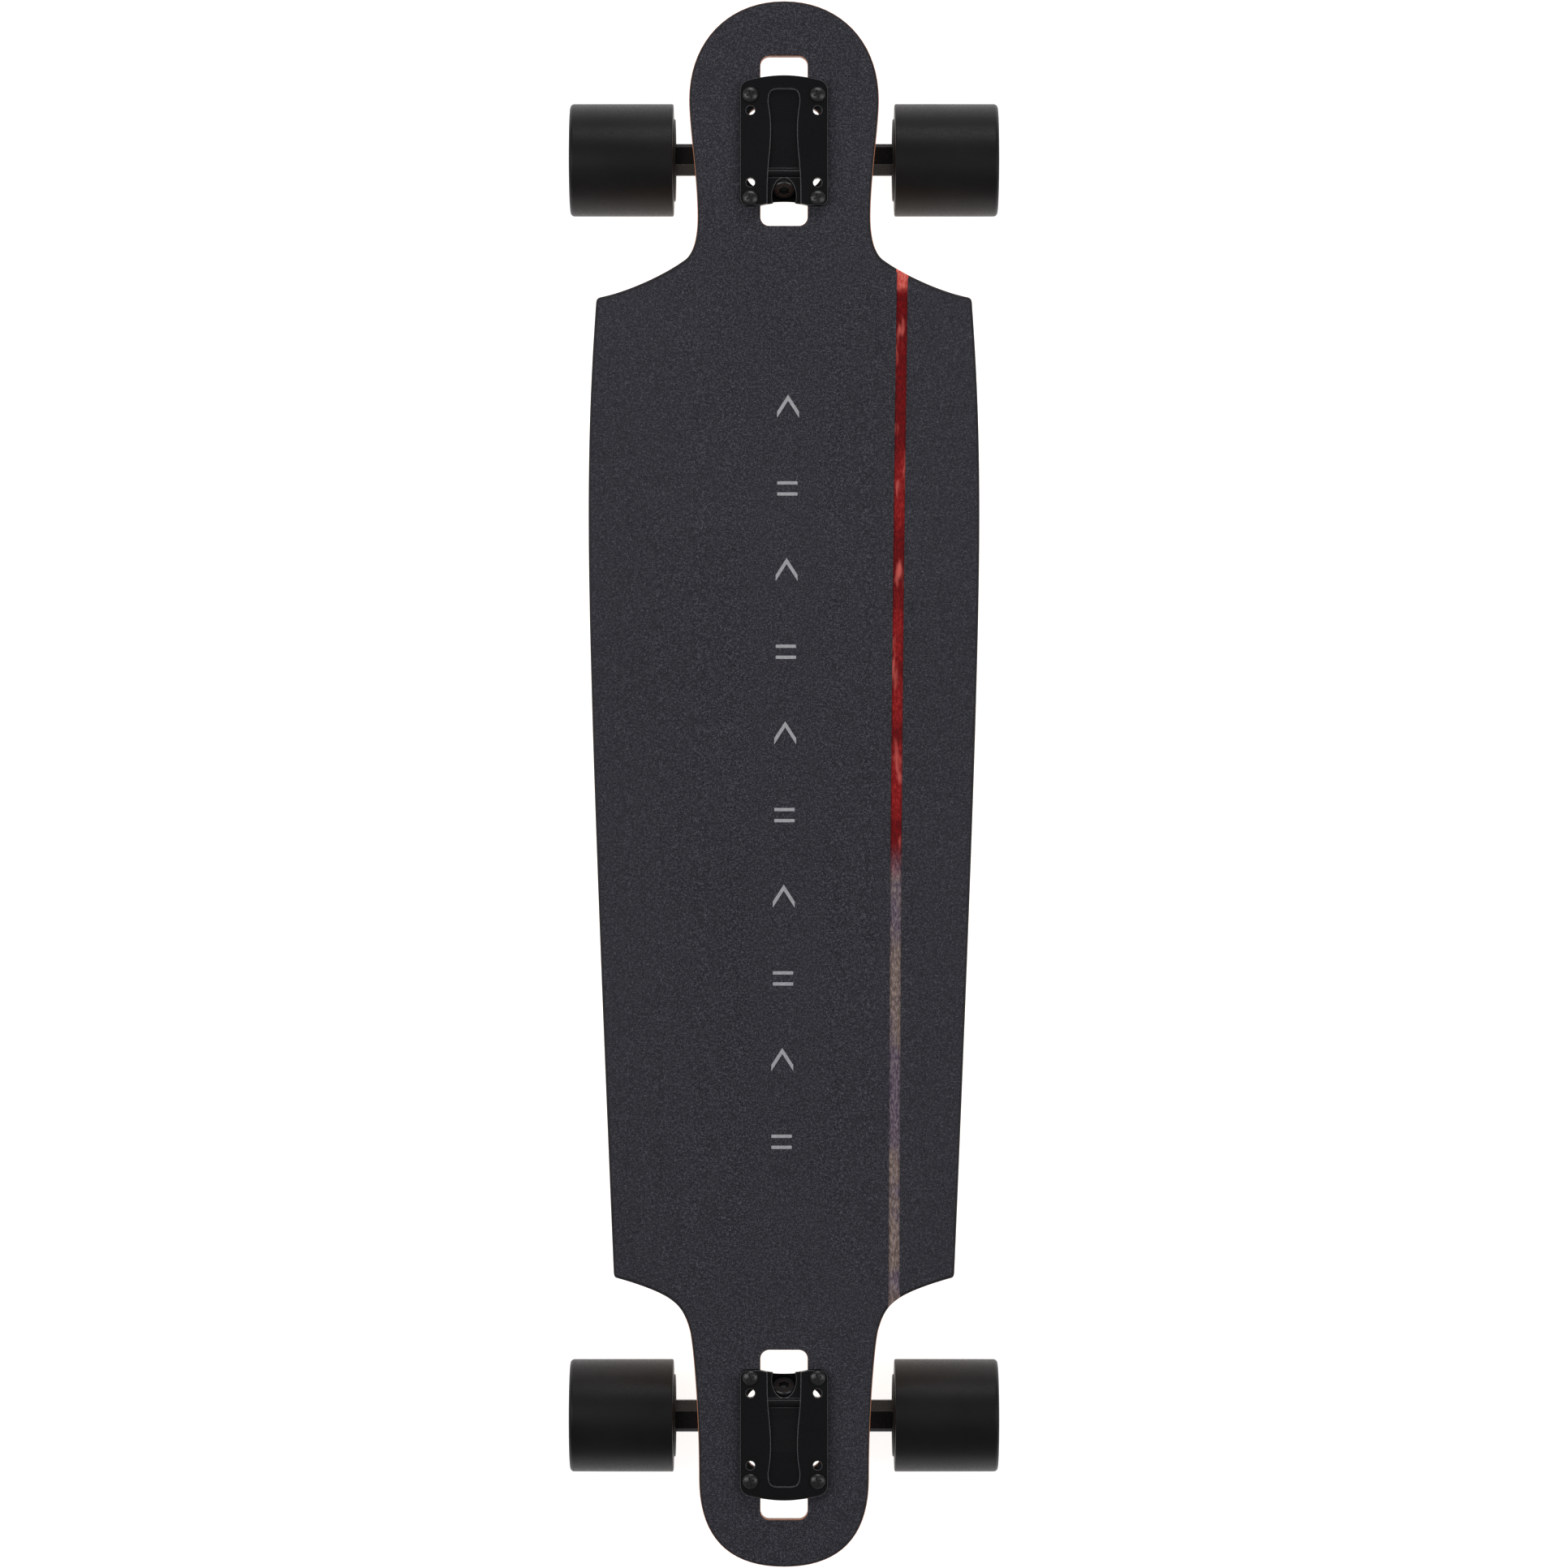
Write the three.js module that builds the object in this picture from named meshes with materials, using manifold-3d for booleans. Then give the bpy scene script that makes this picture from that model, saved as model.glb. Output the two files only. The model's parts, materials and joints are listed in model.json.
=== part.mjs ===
// Drop-through longboard: a maple deck on two reverse-kingpin trucks with four 70 mm wheels.
// Millimetres, +Z up, +Y towards the nose, origin on the ground under the middle of the deck.
// Truck pieces are drawn in a truck frame: x across, y outward from the board's middle, z up
// from the top of the baseplate. The rear truck is the front one turned half round.
import * as THREE from "three";
import { ConvexGeometry } from "three/addons/geometries/ConvexGeometry.js";
import { mergeVertices } from "three/addons/utils/BufferGeometryUtils.js";
import Module from "manifold-3d";

const wasm = await Module();
wasm.setup();

// ---- deck ----
const deckLength = 965;
const deckWidth = 240.6;
const deckThickness = 10.5;
const concaveRise = 6; // how much higher the rails are than the middle
const concaveBlend = 110; // length over which the dish fades out, short of each truck
const tipWidth = 117; // widest part of the nose; the tail follows it
const noseLength = 90.25; // tip to the middle of the truck's bolts
const tailLength = 85.5;
const cutoutEndWidth = 29;
const cutoutLength = 104.5;
const cutoutShift = 4; // the opening is longer on the outer side of the truck
const cutoutMiddleWidth = 46;
const cutoutMiddleLength = 49.6;
const cutoutEndRadius = 5.5;
const cutoutMiddleRadius = 9.5;

// ---- grip ----
const gripThickness = 0.8;
const gripInset = 0.8; // bare rim left along the deck's edge
const gripSeat = 0.2; // glue under the sheet
const gripClearance = 0.3; // round the baseplates and the openings
const stripeWidth = 6.6;
const stripeMiddle = 69.3; // x of the bare stripe at the middle of the deck
const stripeLean = 0.0082; // outward per millimetre towards the nose
const stripeBow = 0.0000106; // and per millimetre squared

// ---- truck ----
const truckHeight = 58; // axle to the top of the baseplate
const axleSetback = 2.75; // the axle is this much nearer the board's middle than the bolts
const steerAngle = 50; // steering axis above the horizontal, in degrees
const plateWidth = 54;
const plateInner = 36.3; // baseplate ends, measured from the middle of its bolts
const plateOuter = 43.8;
const plateNotch = 2; // the inner end is hollowed this deep, over the deck's opening
const plateThickness = 6;
const pocketFloor = 1; // metal left under the pocket in the plate's top
const boltSpacingX = 41.28;
const boltSpacingY = 63.5;
const shortSpacingY = 44.4; // second row of holes, for the shorter bolt pattern
const boltRadius = 2.4;
const boltHoleRadius = 2.8;
const boltHeadRadius = 4.9;
const boltHeadHeight = 2.9;
const boltLength = 25.4;
const lockNutFlats = 9.5;
const lockNutHeight = 5.6;
const wedgeWidth = 28; // the body under the baseplate, which drops through the opening

const kingpinRadius = 4.75;
const kingpinHeadRadius = 7;
const kingpinHeadHeight = 6;
const kingpinHeadInset = 26.5; // middle of the head, inward from the bolts' middle
const kingpinHeadDepth = 8.5; // and below the top of the baseplate
const kingpinWeb = 12; // metal between the head and the first washer
const kingpinTail = 3; // thread past the nut
const kingpinNutFlats = 14.3;
const kingpinNutHeight = 9;
const washerRadius = 12.5;
const washerThickness = 2;
const bushingRadius = 12;
const bushingHeight = 15;
const ringRadius = 16;
const ringThickness = 9;
const ringBoreRadius = 7.6;
const steerTravel = 20; // degrees each way

const pivotReach = 35; // ring middle to pivot middle, along the steering axis
const pivotRadius = 4.8;
const pivotRootRadius = 7.5;
const cupWall = 1.8;
const cupFloor = 1.6;
const towerWall = 2.4;
const towerMouth = 4.5; // mouth of the tower above the pivot's middle

const hangerWidth = 180;
const armDepth = 19; // front to back
const armHeight = 18;
const armTaper = 16; // length of the round end of each arm
const armEndRadius = 6.5;
const hangerCore = 28; // half width of the thick middle

// ---- wheels ----
const wheelRadius = 35;
const tyreWidth = 64.5;
const tyreInset = 21.1; // the tyre reaches this far inboard of the hanger's ends
const hubLip = 1.3; // raised ring on the inner face
const hubLipRadius = 25.7;
const coreRadius = 20.3;
const coreLength = 38;
const recessRadius = 14;
const edgeInner = 1;
const edgeOuter = 2.6;
const bearingRadius = 11;
const bearingBore = 4;
const bearingWidth = 7;
const bearingGap = 10;
const speedRing = 1;
const axleRadius = 4;
const axleNutFlats = 12.7;
const axleNutHeight = 8;
const axleTail = 2.2;

// ---- clearances ----
const seatGap = 0.1; // flat faces that rest on each other
const turnedGap = 0.3; // faces that meet along the slanted kingpin
const fitGap = 0.15; // a round piece in its bore
const overcut = 2; // how far a cutting tool runs past the face

// ---- places that follow from the sizes ----
const steer = THREE.MathUtils.degToRad(steerAngle);
const steerAxis = new THREE.Vector3(0, Math.cos(steer), Math.sin(steer));
const kingpinAxis = new THREE.Vector3(0, Math.sin(steer), -Math.cos(steer));
const stackToRing = kingpinHeadHeight + kingpinWeb + washerThickness + bushingHeight + ringThickness / 2;
const ringCentre = new THREE.Vector3(0, -kingpinHeadInset, -kingpinHeadDepth)
  .addScaledVector(kingpinAxis, stackToRing);
const seatK = -(ringThickness / 2 + bushingHeight + washerThickness); // wedge face, along the kingpin
const headSeatK = seatK - kingpinWeb;
const frontTruckY = deckLength / 2 - noseLength;
const rearTruckY = deckLength / 2 - tailLength;
const concaveEnd = Math.min(frontTruckY, rearTruckY) - cutoutLength / 2 + cutoutShift + 1;
const concaveFull = concaveEnd - concaveBlend;
const plateTopZ = wheelRadius + truckHeight;
const deckTopZ = plateTopZ - plateThickness - seatGap;
const deckBottomZ = deckTopZ - deckThickness;
const innerBearingX = hangerWidth / 2 + speedRing;
const outerBearingX = innerBearingX + bearingWidth + bearingGap;
const axleNutX = outerBearingX + bearingWidth + speedRing;
const armReach = hangerWidth / 2 - armTaper; // half length of the square part
const wheelInner = hangerWidth / 2 - tyreInset;
const wheelOuter = wheelInner + tyreWidth;
const axleEndX = axleNutX + axleNutHeight + axleTail;
const coreMiddleX = (innerBearingX + outerBearingX + bearingWidth) / 2;
const cupRadius = pivotRadius + fitGap * 2 + cupWall;
const towerRadius = cupRadius + fitGap + towerWall;

// ---- helpers ----
function solid(geometry, matrix) {
  const bare = geometry.clone();
  bare.deleteAttribute("normal");
  bare.deleteAttribute("uv");
  if (matrix) bare.applyMatrix4(matrix);
  const merged = mergeVertices(bare, 1e-4);
  const vertProperties = new Float32Array(merged.attributes.position.array);
  const triVerts = new Uint32Array(merged.index.array);
  return new wasm.Manifold(new wasm.Mesh({ numProp: 3, vertProperties, triVerts }));
}

function surface(manifold) {
  const mesh = manifold.getMesh();
  const geometry = new THREE.BufferGeometry();
  geometry.setAttribute("position", new THREE.BufferAttribute(new Float32Array(mesh.vertProperties), 3));
  geometry.setIndex(new THREE.BufferAttribute(new Uint32Array(mesh.triVerts), 1));
  return geometry;
}

// a closed outline [radius, height] turned round Y
function turned(profile, segments) {
  const points = profile.map(([radius, height]) => new THREE.Vector2(radius, height));
  const closed = profile[0][0] > 0;
  if (closed) points.push(points[0].clone());
  return new THREE.LatheGeometry(points, segments);
}

function ring(inner, outer, low, high, segments) {
  return turned([[inner, low], [outer, low], [outer, high], [inner, high]], segments);
}

function rod(radius, low, high, segments) {
  return turned([[0, low], [radius, low], [radius, high], [0, high]], segments);
}

function hexNut(flats, boreRadius, low, high) {
  const sides = 6;
  const widen = 1 / Math.cos(Math.PI / sides);
  return ring((boreRadius + fitGap) * widen, (flats / 2) * widen, low, high, sides);
}

function prism(shape, low, high, curveSegments = 6) {
  const settings = { depth: high - low, bevelEnabled: false, curveSegments };
  return new THREE.ExtrudeGeometry(shape, settings).translate(0, 0, low);
}

function outline(points) {
  return new THREE.Shape(points.map(([x, y]) => new THREE.Vector2(x, y)));
}

function placed(xAxis, yAxis, zAxis, origin = new THREE.Vector3()) {
  return new THREE.Matrix4().makeBasis(xAxis, yAxis, zAxis).setPosition(origin);
}

const X = new THREE.Vector3(1, 0, 0);
const Y = new THREE.Vector3(0, 1, 0);
const Z = new THREE.Vector3(0, 0, 1);
const sideways = placed(Y, Z, X); // an outline in the (outward, up) plane, drawn out across the truck
const alongX = placed(Z, X, Y); // a turned piece laid along the axle
const alongKingpin = placed(X, kingpinAxis, steerAxis, ringCentre);
const alongSteer = placed(X, steerAxis, kingpinAxis.clone().negate(), ringCentre);

// a point of the truck's middle plane: a along the steering axis and k along the kingpin,
// both from the middle of the hanger's ring; returns [outward, up]
function onAxes(a, k) {
  const point = ringCentre.clone().addScaledVector(steerAxis, a).addScaledVector(kingpinAxis, k);
  return [point.y, point.z];
}

function material(color, roughness, metalness) {
  return new THREE.MeshStandardMaterial({ color, roughness, metalness });
}

const wood = material(0xb07a52, 0.55, 0);
const grit = material(0x323137, 0.95, 0);
const casting = material(0x17171b, 0.5, 0.6);
const blackSteel = material(0x26262a, 0.4, 0.8);
const brightSteel = material(0xb9bcc0, 0.3, 1);
const darkRubber = material(0x141416, 0.75, 0);
const urethane = material(0x1d1c1d, 0.6, 0);
const hubPlastic = material(0x2a2a2d, 0.45, 0);
const bearingSteel = material(0x8d9094, 0.35, 1);

function add(parent, name, geometry, look) {
  const mesh = new THREE.Mesh(geometry, look);
  mesh.name = name;
  parent.add(mesh);
  return mesh;
}

// ---- deck and grip ----
// Right-hand half of the deck's edge, nose to tail; the left half mirrors it.
function deckOutline(inset = 0) {
  const half = deckLength / 2 - inset;
  const rail = deckWidth / 2 - inset;
  const tip = tipWidth / 2 - inset;
  const front = frontTruckY;
  const rear = -rearTruckY;
  const step = inset; // the shoulders face along the board, so the inset moves them that way
  const right = [
    [[0, half]],
    [[0.6 * tip, half], [tip, front + 64.7], [tip, front + 29.7]],
    [[tip, front + 12.7], [tip - 5.1, front - 17.3], [tip - 5.2, front - 42.3]],
    [[tip - 5.2, front - 64.3], [tip + 1.5, front - 68.8 - step], [tip + 3.8, front - 70 - step]],
    [
      [tip + 13.5, front - 77.2 - step], [rail - 25.3, front - 88.8 - step],
      [rail - 7, front - 92.5 - step],
    ],
    [[rail - 4.8, front - 93.2 - step], [rail - 4.6, front - 94.2], [rail - 4.4, front - 97.2]],
    [[rail - 1.4, 0.64 * front], [rail, 0.55 * front], [rail, 0.42 * front]],
    [[rail, 0.15 * front], [rail - 9.3, 0.38 * rear], [rail - 15.3, rear + 97]],
    [[rail - 15.5, rear + 94], [rail - 15.8, rear + 93 + step], [rail - 17.5, rear + 92.6 + step]],
    [
      [rail - 30.3, rear + 89 + step], [tip + 17.5, rear + 84 + step],
      [tip + 11.3, rear + 79.3 + step],
    ],
    [[tip + 4.5, rear + 74.5 + step], [tip + 2, rear + 69], [tip - 0.5, rear + 60]],
    [[tip - 2.5, rear + 51], [tip - 6.2, rear + 12], [tip - 6.1, rear - 31]],
    [[tip - 6.1, rear - 67], [0.59 * tip, -half], [0, -half]],
  ];
  const shape = new THREE.Shape();
  shape.moveTo(0, half);
  for (const points of right.slice(1)) shape.bezierCurveTo(...points.flat());
  for (let i = right.length - 1; i > 0; i--) {
    const [first, second] = right[i];
    const end = right[i - 1].at(-1);
    shape.bezierCurveTo(-second[0], second[1], -first[0], first[1], -end[0], end[1]);
  }
  return shape;
}

// height of the deck above its middle line
function concave(x, y) {
  const away = THREE.MathUtils.clamp((concaveEnd - Math.abs(y)) / concaveBlend, 0, 1);
  const blend = away * away * (3 - 2 * away);
  return concaveRise * (x / (deckWidth / 2)) ** 2 * blend;
}

// A dished sheet between two heights over a rectangle a little larger than the deck. Its top and
// bottom have the same grid, so sheets laid on each other stay parallel all over.
function dishedSheet(low, high) {
  const margin = 8;
  const columns = 10;
  const third = concaveBlend / 3;
  const half = [deckLength / 2 + margin, concaveEnd, concaveEnd - third, concaveFull + third, concaveFull];
  const rows = [...half.map((y) => -y), ...half.reverse()];
  const wide = columns + 1;
  const vertices = [];
  for (const z of [low, high]) {
    for (const y of rows) {
      for (let column = 0; column < wide; column++) {
        const x = (column / columns - 0.5) * (deckWidth + 2 * margin);
        vertices.push(x, y, z + concave(x, y));
      }
    }
  }
  const upper = rows.length * wide;
  const faces = [];
  const quad = (a, b, c, d) => faces.push(a, b, c, a, c, d);
  for (let row = 0; row + 1 < rows.length; row++) {
    for (let column = 0; column < columns; column++) {
      const a = row * wide + column;
      faces.push(a, a + wide + 1, a + 1, a, a + wide, a + wide + 1);
      quad(a + upper, a + upper + 1, a + upper + wide + 1, a + upper + wide);
    }
    const left = row * wide;
    const right = left + columns;
    quad(left, left + upper, left + wide + upper, left + wide);
    quad(right, right + wide, right + wide + upper, right + upper);
  }
  for (let column = 0; column < columns; column++) {
    const last = (rows.length - 1) * wide + column;
    quad(column, column + 1, column + 1 + upper, column + upper);
    quad(last, last + upper, last + 1 + upper, last + 1);
  }
  const sheet = new THREE.BufferGeometry();
  sheet.setAttribute("position", new THREE.BufferAttribute(new Float32Array(vertices), 3));
  sheet.setIndex(faces);
  return solid(sheet);
}

function roundedBox(width, length, radius, middleY) {
  const x = width / 2 - radius;
  const y = length / 2 - radius;
  const shape = new THREE.Shape();
  shape.absarc(x, middleY + y, radius, 0, Math.PI / 2);
  shape.absarc(-x, middleY + y, radius, Math.PI / 2, Math.PI);
  shape.absarc(-x, middleY - y, radius, Math.PI, Math.PI * 1.5);
  shape.absarc(x, middleY - y, radius, Math.PI * 1.5, Math.PI * 2);
  return shape;
}

// flat shape of a baseplate, in its truck's frame
function plateOutline(clearance = 0) {
  const side = plateWidth / 2 + clearance;
  const inner = -plateInner - clearance;
  const outer = plateOuter + clearance;
  const corner = 5;
  const notch = cutoutEndWidth / 2;
  const shape = new THREE.Shape();
  shape.moveTo(-side + corner, inner);
  if (clearance === 0) {
    shape.lineTo(-notch, inner);
    shape.quadraticCurveTo(0, inner + 2 * plateNotch, notch, inner);
  }
  shape.lineTo(side - corner, inner);
  shape.quadraticCurveTo(side, inner, side, inner + corner);
  shape.lineTo(side, outer - 10);
  shape.bezierCurveTo(side, outer - 5.3, side - 2.5, outer - 3.2, side - 7, outer - 2.4);
  shape.bezierCurveTo(side - 14, outer - 0.9, 6, outer, 0, outer);
  shape.bezierCurveTo(-6, outer, -side + 14, outer - 0.9, -side + 7, outer - 2.4);
  shape.bezierCurveTo(-side + 2.5, outer - 3.2, -side, outer - 5.3, -side, outer - 10);
  shape.lineTo(-side, inner + corner);
  shape.quadraticCurveTo(-side, inner, -side + corner, inner);
  return shape;
}

const truckMatrices = [
  new THREE.Matrix4().makeTranslation(0, frontTruckY, plateTopZ),
  new THREE.Matrix4().makeRotationZ(Math.PI).setPosition(0, -rearTruckY, plateTopZ),
];
const boltPlaces = [-1, 1].flatMap((x) => [-1, 1].map((y) => [x * boltSpacingX / 2, y * boltSpacingY / 2]));

// openings of one truck, as deep tools in the truck's frame, each grown by a clearance
function truckOpenings(clearance) {
  const grown = 2 * clearance;
  const shapes = [
    roundedBox(cutoutEndWidth + grown, cutoutLength + grown, cutoutEndRadius, cutoutShift),
    roundedBox(cutoutMiddleWidth + grown, cutoutMiddleLength + grown, cutoutMiddleRadius, 0),
  ];
  return shapes.map((shape) => prism(shape, -60, 20, 4));
}

function deck() {
  let body = dishedSheet(deckBottomZ, deckTopZ).intersect(solid(prism(deckOutline(), 0, 200, 5)));
  for (const matrix of truckMatrices) {
    for (const tool of truckOpenings(0)) body = body.subtract(solid(tool, matrix));
    for (const [x, y] of boltPlaces) {
      const hole = rod(boltHoleRadius, -60, 20, 10).rotateX(Math.PI / 2).translate(x, y, 0);
      body = body.subtract(solid(hole, matrix));
    }
  }
  return surface(body);
}

// middle of the bare stripe: nearly straight, leaning outward towards the nose
function stripeX(y) {
  return stripeMiddle + stripeLean * y + stripeBow * y * y;
}

// a deep tool from past the tail to past the nose, between two edges given as x at each y
function stripeTool(leftEdge, rightEdge) {
  const past = deckLength * 0.6;
  const steps = 8;
  const line = Array.from({ length: steps + 1 }, (_, i) => past * ((2 * i) / steps - 1));
  const left = line.map((y) => [leftEdge(y), y]);
  const right = line.map((y) => [rightEdge(y), y]).reverse();
  return prism(outline([...left, ...right]), 0, 200);
}

function gripSheets() {
  const low = deckTopZ + gripSeat;
  const plan = solid(prism(deckOutline(gripInset), 0, 200, 5));
  let sheet = dishedSheet(low, low + gripThickness).intersect(plan);
  for (const matrix of truckMatrices) {
    for (const tool of truckOpenings(gripClearance)) sheet = sheet.subtract(solid(tool, matrix));
    sheet = sheet.subtract(solid(prism(plateOutline(gripClearance), -60, 20, 5), matrix));
  }
  const past = deckWidth;
  const shoulder = (frontTruckY + concaveEnd) / 2 - plateInner; // the stripe stops at the necks
  const mainTool = solid(stripeTool((y) => stripeX(y) - stripeWidth / 2, () => past));
  const sideTool = solid(stripeTool((y) => stripeX(y) + stripeWidth / 2, () => past));
  const middle = solid(prism(roundedBox(2 * past, 2 * shoulder, 1, 0), 0, 200, 1));
  const main = sheet.subtract(mainTool.intersect(middle));
  const side = sheet.intersect(sideTool).intersect(middle);
  return [surface(main), surface(side)];
}

// ---- truck pieces, in the truck's frame ----
// waisted pocket in the top of the baseplate, open at its inner end
function pocketTool() {
  const end = 9.8; // half widths
  const mouth = 10.4;
  const waist = 8.2;
  const plan = new THREE.Shape();
  plan.moveTo(-mouth, -plateInner - overcut);
  plan.lineTo(mouth, -plateInner - overcut);
  plan.bezierCurveTo(mouth, -20, mouth, -18, waist + 0.4, 0);
  plan.bezierCurveTo(waist - 0.6, 14, waist + 0.4, 20, end, 27);
  plan.bezierCurveTo(end, 33, end - 1, 35.5, 4, 35.5);
  plan.lineTo(-4, 35.5);
  plan.bezierCurveTo(-end + 1, 35.5, -end, 33, -end, 27);
  plan.bezierCurveTo(-waist - 0.4, 20, -waist + 0.6, 14, -waist - 0.4, 0);
  plan.bezierCurveTo(-mouth, -18, -mouth, -20, -mouth, -plateInner - overcut);
  const floor = pocketFloor - plateThickness;
  const rib = { y: -15.8, z: -plateThickness, radius: 3 };
  const side = new THREE.Shape();
  side.moveTo(40, 10);
  side.lineTo(-50, 10);
  side.lineTo(-50, floor);
  side.lineTo(rib.y - rib.radius, floor);
  side.absarc(rib.y, rib.z, rib.radius, Math.PI * 0.9, Math.PI * 0.1, true);
  side.lineTo(-6, floor + 0.2);
  side.lineTo(14, floor + 2.2);
  side.lineTo(40, floor + 2.4);
  return solid(prism(plan, -30, 10, 5)).intersect(solid(prism(side, -20, 20, 5), sideways));
}

function baseplate() {
  const flange = solid(prism(plateOutline(), -plateThickness, 0, 6));
  const half = wedgeWidth / 2;
  const seatHalf = washerRadius + 1; // the sloping seat of the boardside washer
  const seatTop = onAxes(Math.min(seatHalf, 13), seatK);
  const seatBottom = onAxes(-seatHalf - 1, seatK);
  const inboard = plateNotch - plateInner; // the wall under the plate's inner end
  const [postY, postZ] = onAxes(-pivotReach, 0);
  const wedge = outline([
    [31, -plateThickness + 1], [31, -plateThickness], [17, -10], [6, -12.6], seatTop, seatBottom,
    onAxes(-21, 2 - bushingHeight), onAxes(-27, -towerRadius), [postY - towerRadius + 0.5, postZ + 12],
    [inboard, -plateThickness + 1],
  ]);
  const post = outline([
    onAxes(-21, 2 - bushingHeight), onAxes(-29, 1 - towerRadius), [postY, postZ],
    [postY - towerRadius * 0.7, postZ - towerRadius * 0.4], [postY - towerRadius + 0.3, postZ + 4],
    [postY - towerRadius, postZ + 25],
  ]);
  const tower = turned([
    [0, -pivotReach - towerRadius], [towerRadius * 0.5, -pivotReach - towerRadius * 0.87],
    [towerRadius * 0.87, -pivotReach - towerRadius * 0.5], [towerRadius, -pivotReach],
    [towerRadius, -pivotReach + towerMouth], [0, -pivotReach + towerMouth],
  ], 20);
  let body = flange.add(solid(prism(wedge, -half, half), sideways));
  body = body.add(solid(prism(post, -towerRadius + 1, towerRadius - 1), sideways));
  body = body.add(solid(tower, alongSteer));

  const cup = turned([
    [0, -pivotReach - cupRadius - fitGap], [cupRadius * 0.55, -pivotReach - cupRadius * 0.85],
    [cupRadius + fitGap, -pivotReach - cupRadius * 0.45], [cupRadius + fitGap, 0], [0, 0],
  ], 20);
  body = body.subtract(solid(cup, alongSteer));
  body = body.subtract(solid(rod(kingpinRadius + fitGap, -60, 40, 20), alongKingpin));
  body = body.subtract(solid(rod(kingpinHeadRadius + 0.6, headSeatK - 60, headSeatK, 20), alongKingpin));
  body = body.subtract(pocketTool());
  const short = boltPlaces.map(([x, y]) => [x, y * shortSpacingY / boltSpacingY]);
  for (const [x, y] of [...boltPlaces, ...short]) {
    const hole = rod(boltHoleRadius, -60, 20, 12).rotateX(Math.PI / 2).translate(x, y, 0);
    body = body.subtract(solid(hole));
  }
  return surface(body);
}

// a rubber thimble in the tower, round the hanger's pivot
function pivotCup() {
  const bore = pivotRadius + 2 * fitGap;
  const top = -pivotReach + towerMouth;
  return surface(solid(turned([
    [0, -pivotReach - bore - cupFloor], [cupRadius * 0.5, -pivotReach - cupRadius * 0.8],
    [cupRadius, -pivotReach - cupRadius * 0.4], [cupRadius, top], [bore, top], [bore, -pivotReach],
    [bore * 0.6, -pivotReach - bore * 0.8], [0, -pivotReach - bore],
  ], 20), alongSteer));
}

function kingpin() {
  const end = ringThickness / 2 + bushingHeight + washerThickness + kingpinNutHeight + kingpinTail;
  return surface(solid(turned([
    [0, headSeatK - kingpinHeadHeight], [kingpinHeadRadius, headSeatK - kingpinHeadHeight],
    [kingpinHeadRadius, headSeatK - turnedGap], [kingpinRadius - fitGap, headSeatK - turnedGap],
    [kingpinRadius - fitGap, end - 1], [kingpinRadius - 1, end], [0, end],
  ], 20), alongKingpin));
}

// the stack on the kingpin, each piece mirrored either side of the ring
function stackPiece(innerRadius, outerRadius, near, far, side) {
  const low = side > 0 ? near + turnedGap / 2 : -far + turnedGap / 2;
  const high = side > 0 ? far - turnedGap / 2 : -near - turnedGap / 2;
  return surface(solid(ring(innerRadius, outerRadius, low, high, 20), alongKingpin));
}

function bushing(side) {
  const near = ringThickness / 2;
  return stackPiece(kingpinRadius + fitGap, bushingRadius, near, near + bushingHeight, side);
}

function washer(side) {
  const near = ringThickness / 2 + bushingHeight;
  return stackPiece(kingpinRadius + fitGap, washerRadius, near, near + washerThickness, side);
}

function kingpinNut() {
  const low = ringThickness / 2 + bushingHeight + washerThickness + turnedGap / 2;
  return surface(solid(hexNut(kingpinNutFlats, kingpinRadius, low, low + kingpinNutHeight), alongKingpin));
}

// cross-section of the arms about the axle: flat on top, sloped towards the board's middle
function armSection() {
  const d = armDepth / 2;
  const h = armHeight / 2;
  return [[-d, -4], [-d, 1.5], [-3.5, h], [d - 2, h], [d, h - 2], [d, -5], [6, -h], [-5.5, -h]]
    .map(([y, z]) => [y - axleSetback, z - truckHeight]);
}

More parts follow.
